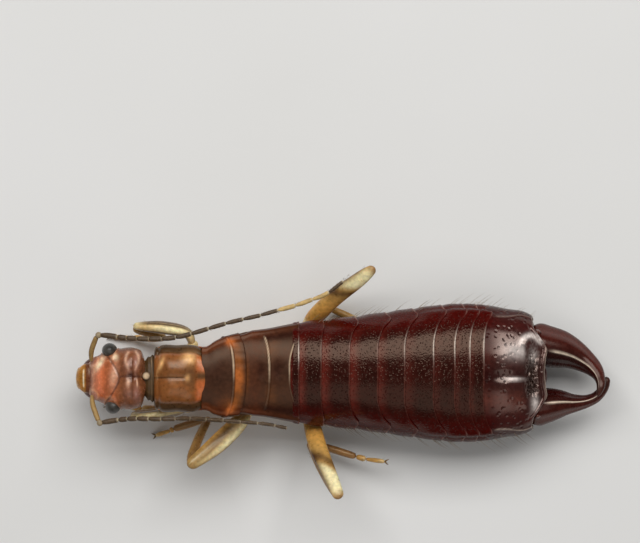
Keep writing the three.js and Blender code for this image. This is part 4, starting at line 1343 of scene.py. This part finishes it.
def claws(heap, root, ahead):
    """Two curved claws at the end of a foot."""
    ahead = unit(ahead)
    side = unit(np.cross((0, 0, 1), ahead))
    for way in (-1, 1):
        middle = root + ahead * 0.07 + side * way * 0.05 + np.array([0, 0, 0.01])
        end = root + ahead * 0.14 + side * way * 0.09 + np.array([0, 0, -0.04])
        tube(heap, [root, middle, end], [(0, 0.03), (0.5, 0.022), (1, 0.006)], 10, 10, marks={"fold": 0.8})


def coxa(name, hip, centre, size, tilt):
    """The root of a leg: a tapered wedge against the body, with a seam and a socket for the thigh."""

    def wedge(points):
        along, up = points[..., 0], points[..., 2]
        seam = bump(up, 0.25 - 0.3 * along, 0.07)
        return 1 - 0.3 * fade(-along, 0.0, 1.0) - 0.14 * fade(along, 0.3, 1.0) - 0.035 * seam

    def marks(points):
        place = (points - np.array(centre)) / np.array(size)
        along, up = place[..., 0], place[..., 2]
        return {
            "warm": 0.45 + 0.45 * fade(along, 0.3, -0.9),
            # Slightly pale all over and at the rear end, with a painted highlight streak below the seam
            "rim": 0.2 + 0.8 * bump(up, 0.1 - 0.45 * along, 0.12) + 0.3 * fade(along, 0.4, 1.0),
            "brown": 0.5 * fade(up, 0.3, 1.0) + 0.4 * bump(up, -0.3 - 0.4 * along, 0.12),
        }

    heap = Heap()
    ball(heap, centre, size, 40, 48, 0.9, tilt, wedge, marks)
    socket = [np.array(centre) * 0.5 + np.array(hip) * 0.5, np.array(hip)]
    tube(heap, socket, [(0, 0.26), (0.6, 0.22), (1, 0.16)], 16, 24,
         marks=lambda share, angle: {"warm": 0.4, "rim": 0.5 * fade(share, 0.5, 0.9)})
    heap.piece(f"leg_coxa_{name}", "leg", "pale_yellow", f"coxa_{name}")


def leg(name, root, thigh, shin, foot):
    knots, girth, deep, thigh_marks = thigh
    coxa(name, knots[0], *root)

    heap = Heap()
    ball(heap, knots[0], (0.17, 0.17, 0.16), 18, 24, marks={"rim": 0.4})
    tube(heap, knots, girth, 80, 64, deep, marks=thigh_marks)
    heap.piece(f"leg_femur_{name}", "leg", "leg_yellow", f"femur_{name}")

    heap = Heap()
    tube(heap, shin[0], SHIN_GIRTH, 50, 28, marks=shin[1])
    heap.piece(f"leg_tibia_{name}", "leg", "leg_yellow", f"tibia_{name}")

    heap = Heap()
    stops = np.array(foot)
    for index, (narrow, wide, tip) in enumerate(FOOT_GIRTHS):
        brown = name in BROWN_FEET and index == 0
        tube(heap, stops[index:index + 2], [(0, narrow), (0.3, wide * 0.95), (0.8, wide), (1, tip)], 24, 20,
             marks=BROWN_FOOT if brown else foot_marks)
    claws(heap, stops[-1], stops[-1] - stops[-2])
    heap.piece(f"leg_foot_{name}", "leg", "pale_yellow", f"tarsus_{name}")


for leg_name, leg_parts in LEGS.items():
    leg(leg_name, *leg_parts)


# Bristles: thin tapered hairs, joined in one mesh for each region

# How far one hair reaches on the map of colours, across and along
HAIR_PATCH = (0.001, 0.003)


class Bristles:
    """Hairs of one region, each a tapered curve on three sides with its own place on the colour map."""

    def __init__(self):
        self.points = []
        self.faces = []
        self.patch = []

    def grow(self, root, way, bend, length, thick, place, stages=4):
        first = len(self.points)
        way = unit(np.array(way, float))
        side = unit(np.cross(way, (0.31, 0.17, 0.93)))
        other = np.cross(way, side)
        for stage in range(stages):
            share = stage / stages
            centre = root + way * length * share + np.array(bend) * length * share**2
            spread = thick * (1 - share) ** 0.8
            for k in range(3):
                turn = 2 * np.pi * k / 3
                self.points.append(centre + (side * np.cos(turn) + other * np.sin(turn)) * spread)
                self.patch.append((place[0] + HAIR_PATCH[0] * k, place[1] + HAIR_PATCH[1] * share))
        self.points.append(root + way * length + np.array(bend) * length)
        self.patch.append((place[0] + HAIR_PATCH[0], place[1] + HAIR_PATCH[1]))
        for a in range(first, first + 3 * stages - 3, 3):
            self.faces += [[a + k, a + (k + 1) % 3, a + (k + 1) % 3 + 3, a + k + 3] for k in range(3)]
        tip = first + 3 * stages
        self.faces += [[tip - 3 + k, tip - 3 + (k + 1) % 3, tip] for k in range(3)]
        self.faces.append([first + 2, first + 1, first])

    def piece(self, name):
        piece(name, self.points, self.faces, "hair", patch=self.patch)


def body_bristles():
    hairs = Bristles()
    for _ in range(BODY_HAIRS):
        x = RANDOM.uniform(*HAIRY_LENGTH)
        angle = RANDOM.choice([-1, 1]) * RANDOM.uniform(*HAIRY_ANGLES)
        shortest, longest, thick = LONG_HAIR if RANDOM.random() < LONG_SHARE else SHORT_HAIR
        root = trunk_skin(np.array(x), np.array(angle), -0.01)
        out = (0.9, np.sin(angle), np.cos(angle))
        length = RANDOM.uniform(shortest, longest)
        place = (0.02 + 0.9 * (x - 7) / 8, 0.5 + 0.15 * angle)
        hairs.grow(root, out, (0.3, 0, -0.15), length, thick, place)
    hairs.piece("bristles_abdomen")


def scattered(hairs, route, growth, column):
    """Hairs all round a limb, leaning towards its tip."""
    count, reach, shortest, longest, thick, row = growth
    along, side, rise = frames(route)
    for _ in range(count):
        i = int(RANDOM.integers(2, len(route) - 2))
        turn = RANDOM.uniform(0, 2 * np.pi)
        out = side[i] * np.cos(turn) + rise[i] * np.sin(turn)
        place = (column + 0.1 * i / len(route), row + 0.04 * turn)
        length = RANDOM.uniform(shortest, longest)
        hairs.grow(route[i] + out * reach, out * 0.8 + along[i], (0, 0, 0), length, thick, place, stages=3)


def limb_bristles():
    hairs = Bristles()
    for number, (_, thigh, shin, foot) in enumerate(LEGS.values()):
        for knots, growth in ((thigh[0], THIGH_HAIRS), (shin[0], SHIN_HAIRS), (foot, FOOT_HAIRS)):
            scattered(hairs, spline(knots, HAIR_STATIONS), growth, 0.05 + 0.15 * number)
    hairs.piece("bristles_legs")
    hairs = Bristles()
    for number, route in enumerate(antenna_routes):
        scattered(hairs, route, ANTENNA_HAIRS, 0.05 + 0.4 * number)
    hairs.piece("bristles_antennae")


body_bristles()
limb_bristles()


# Floor, lights and camera

FLOOR_HALF = 600
FLOOR_LINES = 9
KEY = ((0, 70, 112), (170, 78), 0.19)
FILL = ((0, -62, 113), (160, 84), 0.035)
SKY = 0.12
LIT_POINT = (0, 0, 1.5)
PICTURE_WIDTH = 20.0
PICTURE_CENTRE = (7.625, 3.156)
CAMERA_DISTANCE = 500.0
SENSOR = 36.0
CLIP = (0.01, 2.0)


def floor():
    tree, shader, place = blank("paper")
    clouds = node(tree, "TexNoise", {"Vector": place, "Scale": 60.0, "Detail": 3.0})
    shade = remap(tree, clouds.outputs["Fac"], 0.3, 0.7)
    tree.links.new(blend(tree, shade, colour("d9d8d5"), colour("dddcda")), shader.inputs["Base Color"])
    set_all(shader, Roughness=0.9, Specular_IOR_Level=0.1)
    line = np.linspace(-FLOOR_HALF, FLOOR_HALF, FLOOR_LINES) * MM
    x, y = grid(line, line)
    mesh = bpy.data.meshes.new("floor")
    points = np.stack([x, y, 0 * x], -1).reshape(-1, 3)
    mesh.from_pydata(points.tolist(), [], quads(FLOOR_LINES, FLOOR_LINES).tolist())
    mesh.materials.append(MATERIALS["paper"])
    show("floor", mesh)


def softbox(name, place, size, watts):
    """A rectangular lamp that looks at the animal's middle, with its place and size in millimetres."""
    lamp = bpy.data.lights.new(name, "AREA")
    lamp.shape = "RECTANGLE"
    lamp.size = size[0] * MM
    lamp.size_y = size[1] * MM
    lamp.energy = watts
    made = show(name, lamp)
    made.location = (np.array(place) * MM).tolist()
    direction = mathutils.Vector(LIT_POINT) * MM - made.location
    made.rotation_euler = direction.to_track_quat("-Z", "Y").to_euler()


def camera():
    data = bpy.data.cameras.new("camera")
    data.sensor_width = SENSOR
    data.lens = SENSOR * CAMERA_DISTANCE / PICTURE_WIDTH
    data.clip_start, data.clip_end = CLIP
    made = show("camera", data)
    made.location = ((np.array([*PICTURE_CENTRE, CAMERA_DISTANCE]) + ORIGIN) * MM).tolist()
    bpy.context.scene.camera = made


def surroundings():
    world = bpy.data.worlds.new("studio")
    world.use_nodes = True
    background = world.node_tree.nodes["Background"]
    set_all(background, Color=(1.0, 1.0, 1.0, 1.0), Strength=SKY)
    bpy.context.scene.world = world
    bpy.context.scene.view_settings.view_transform = "Standard"


floor()
softbox("key", *KEY)
softbox("fill", *FILL)
camera()
surroundings()
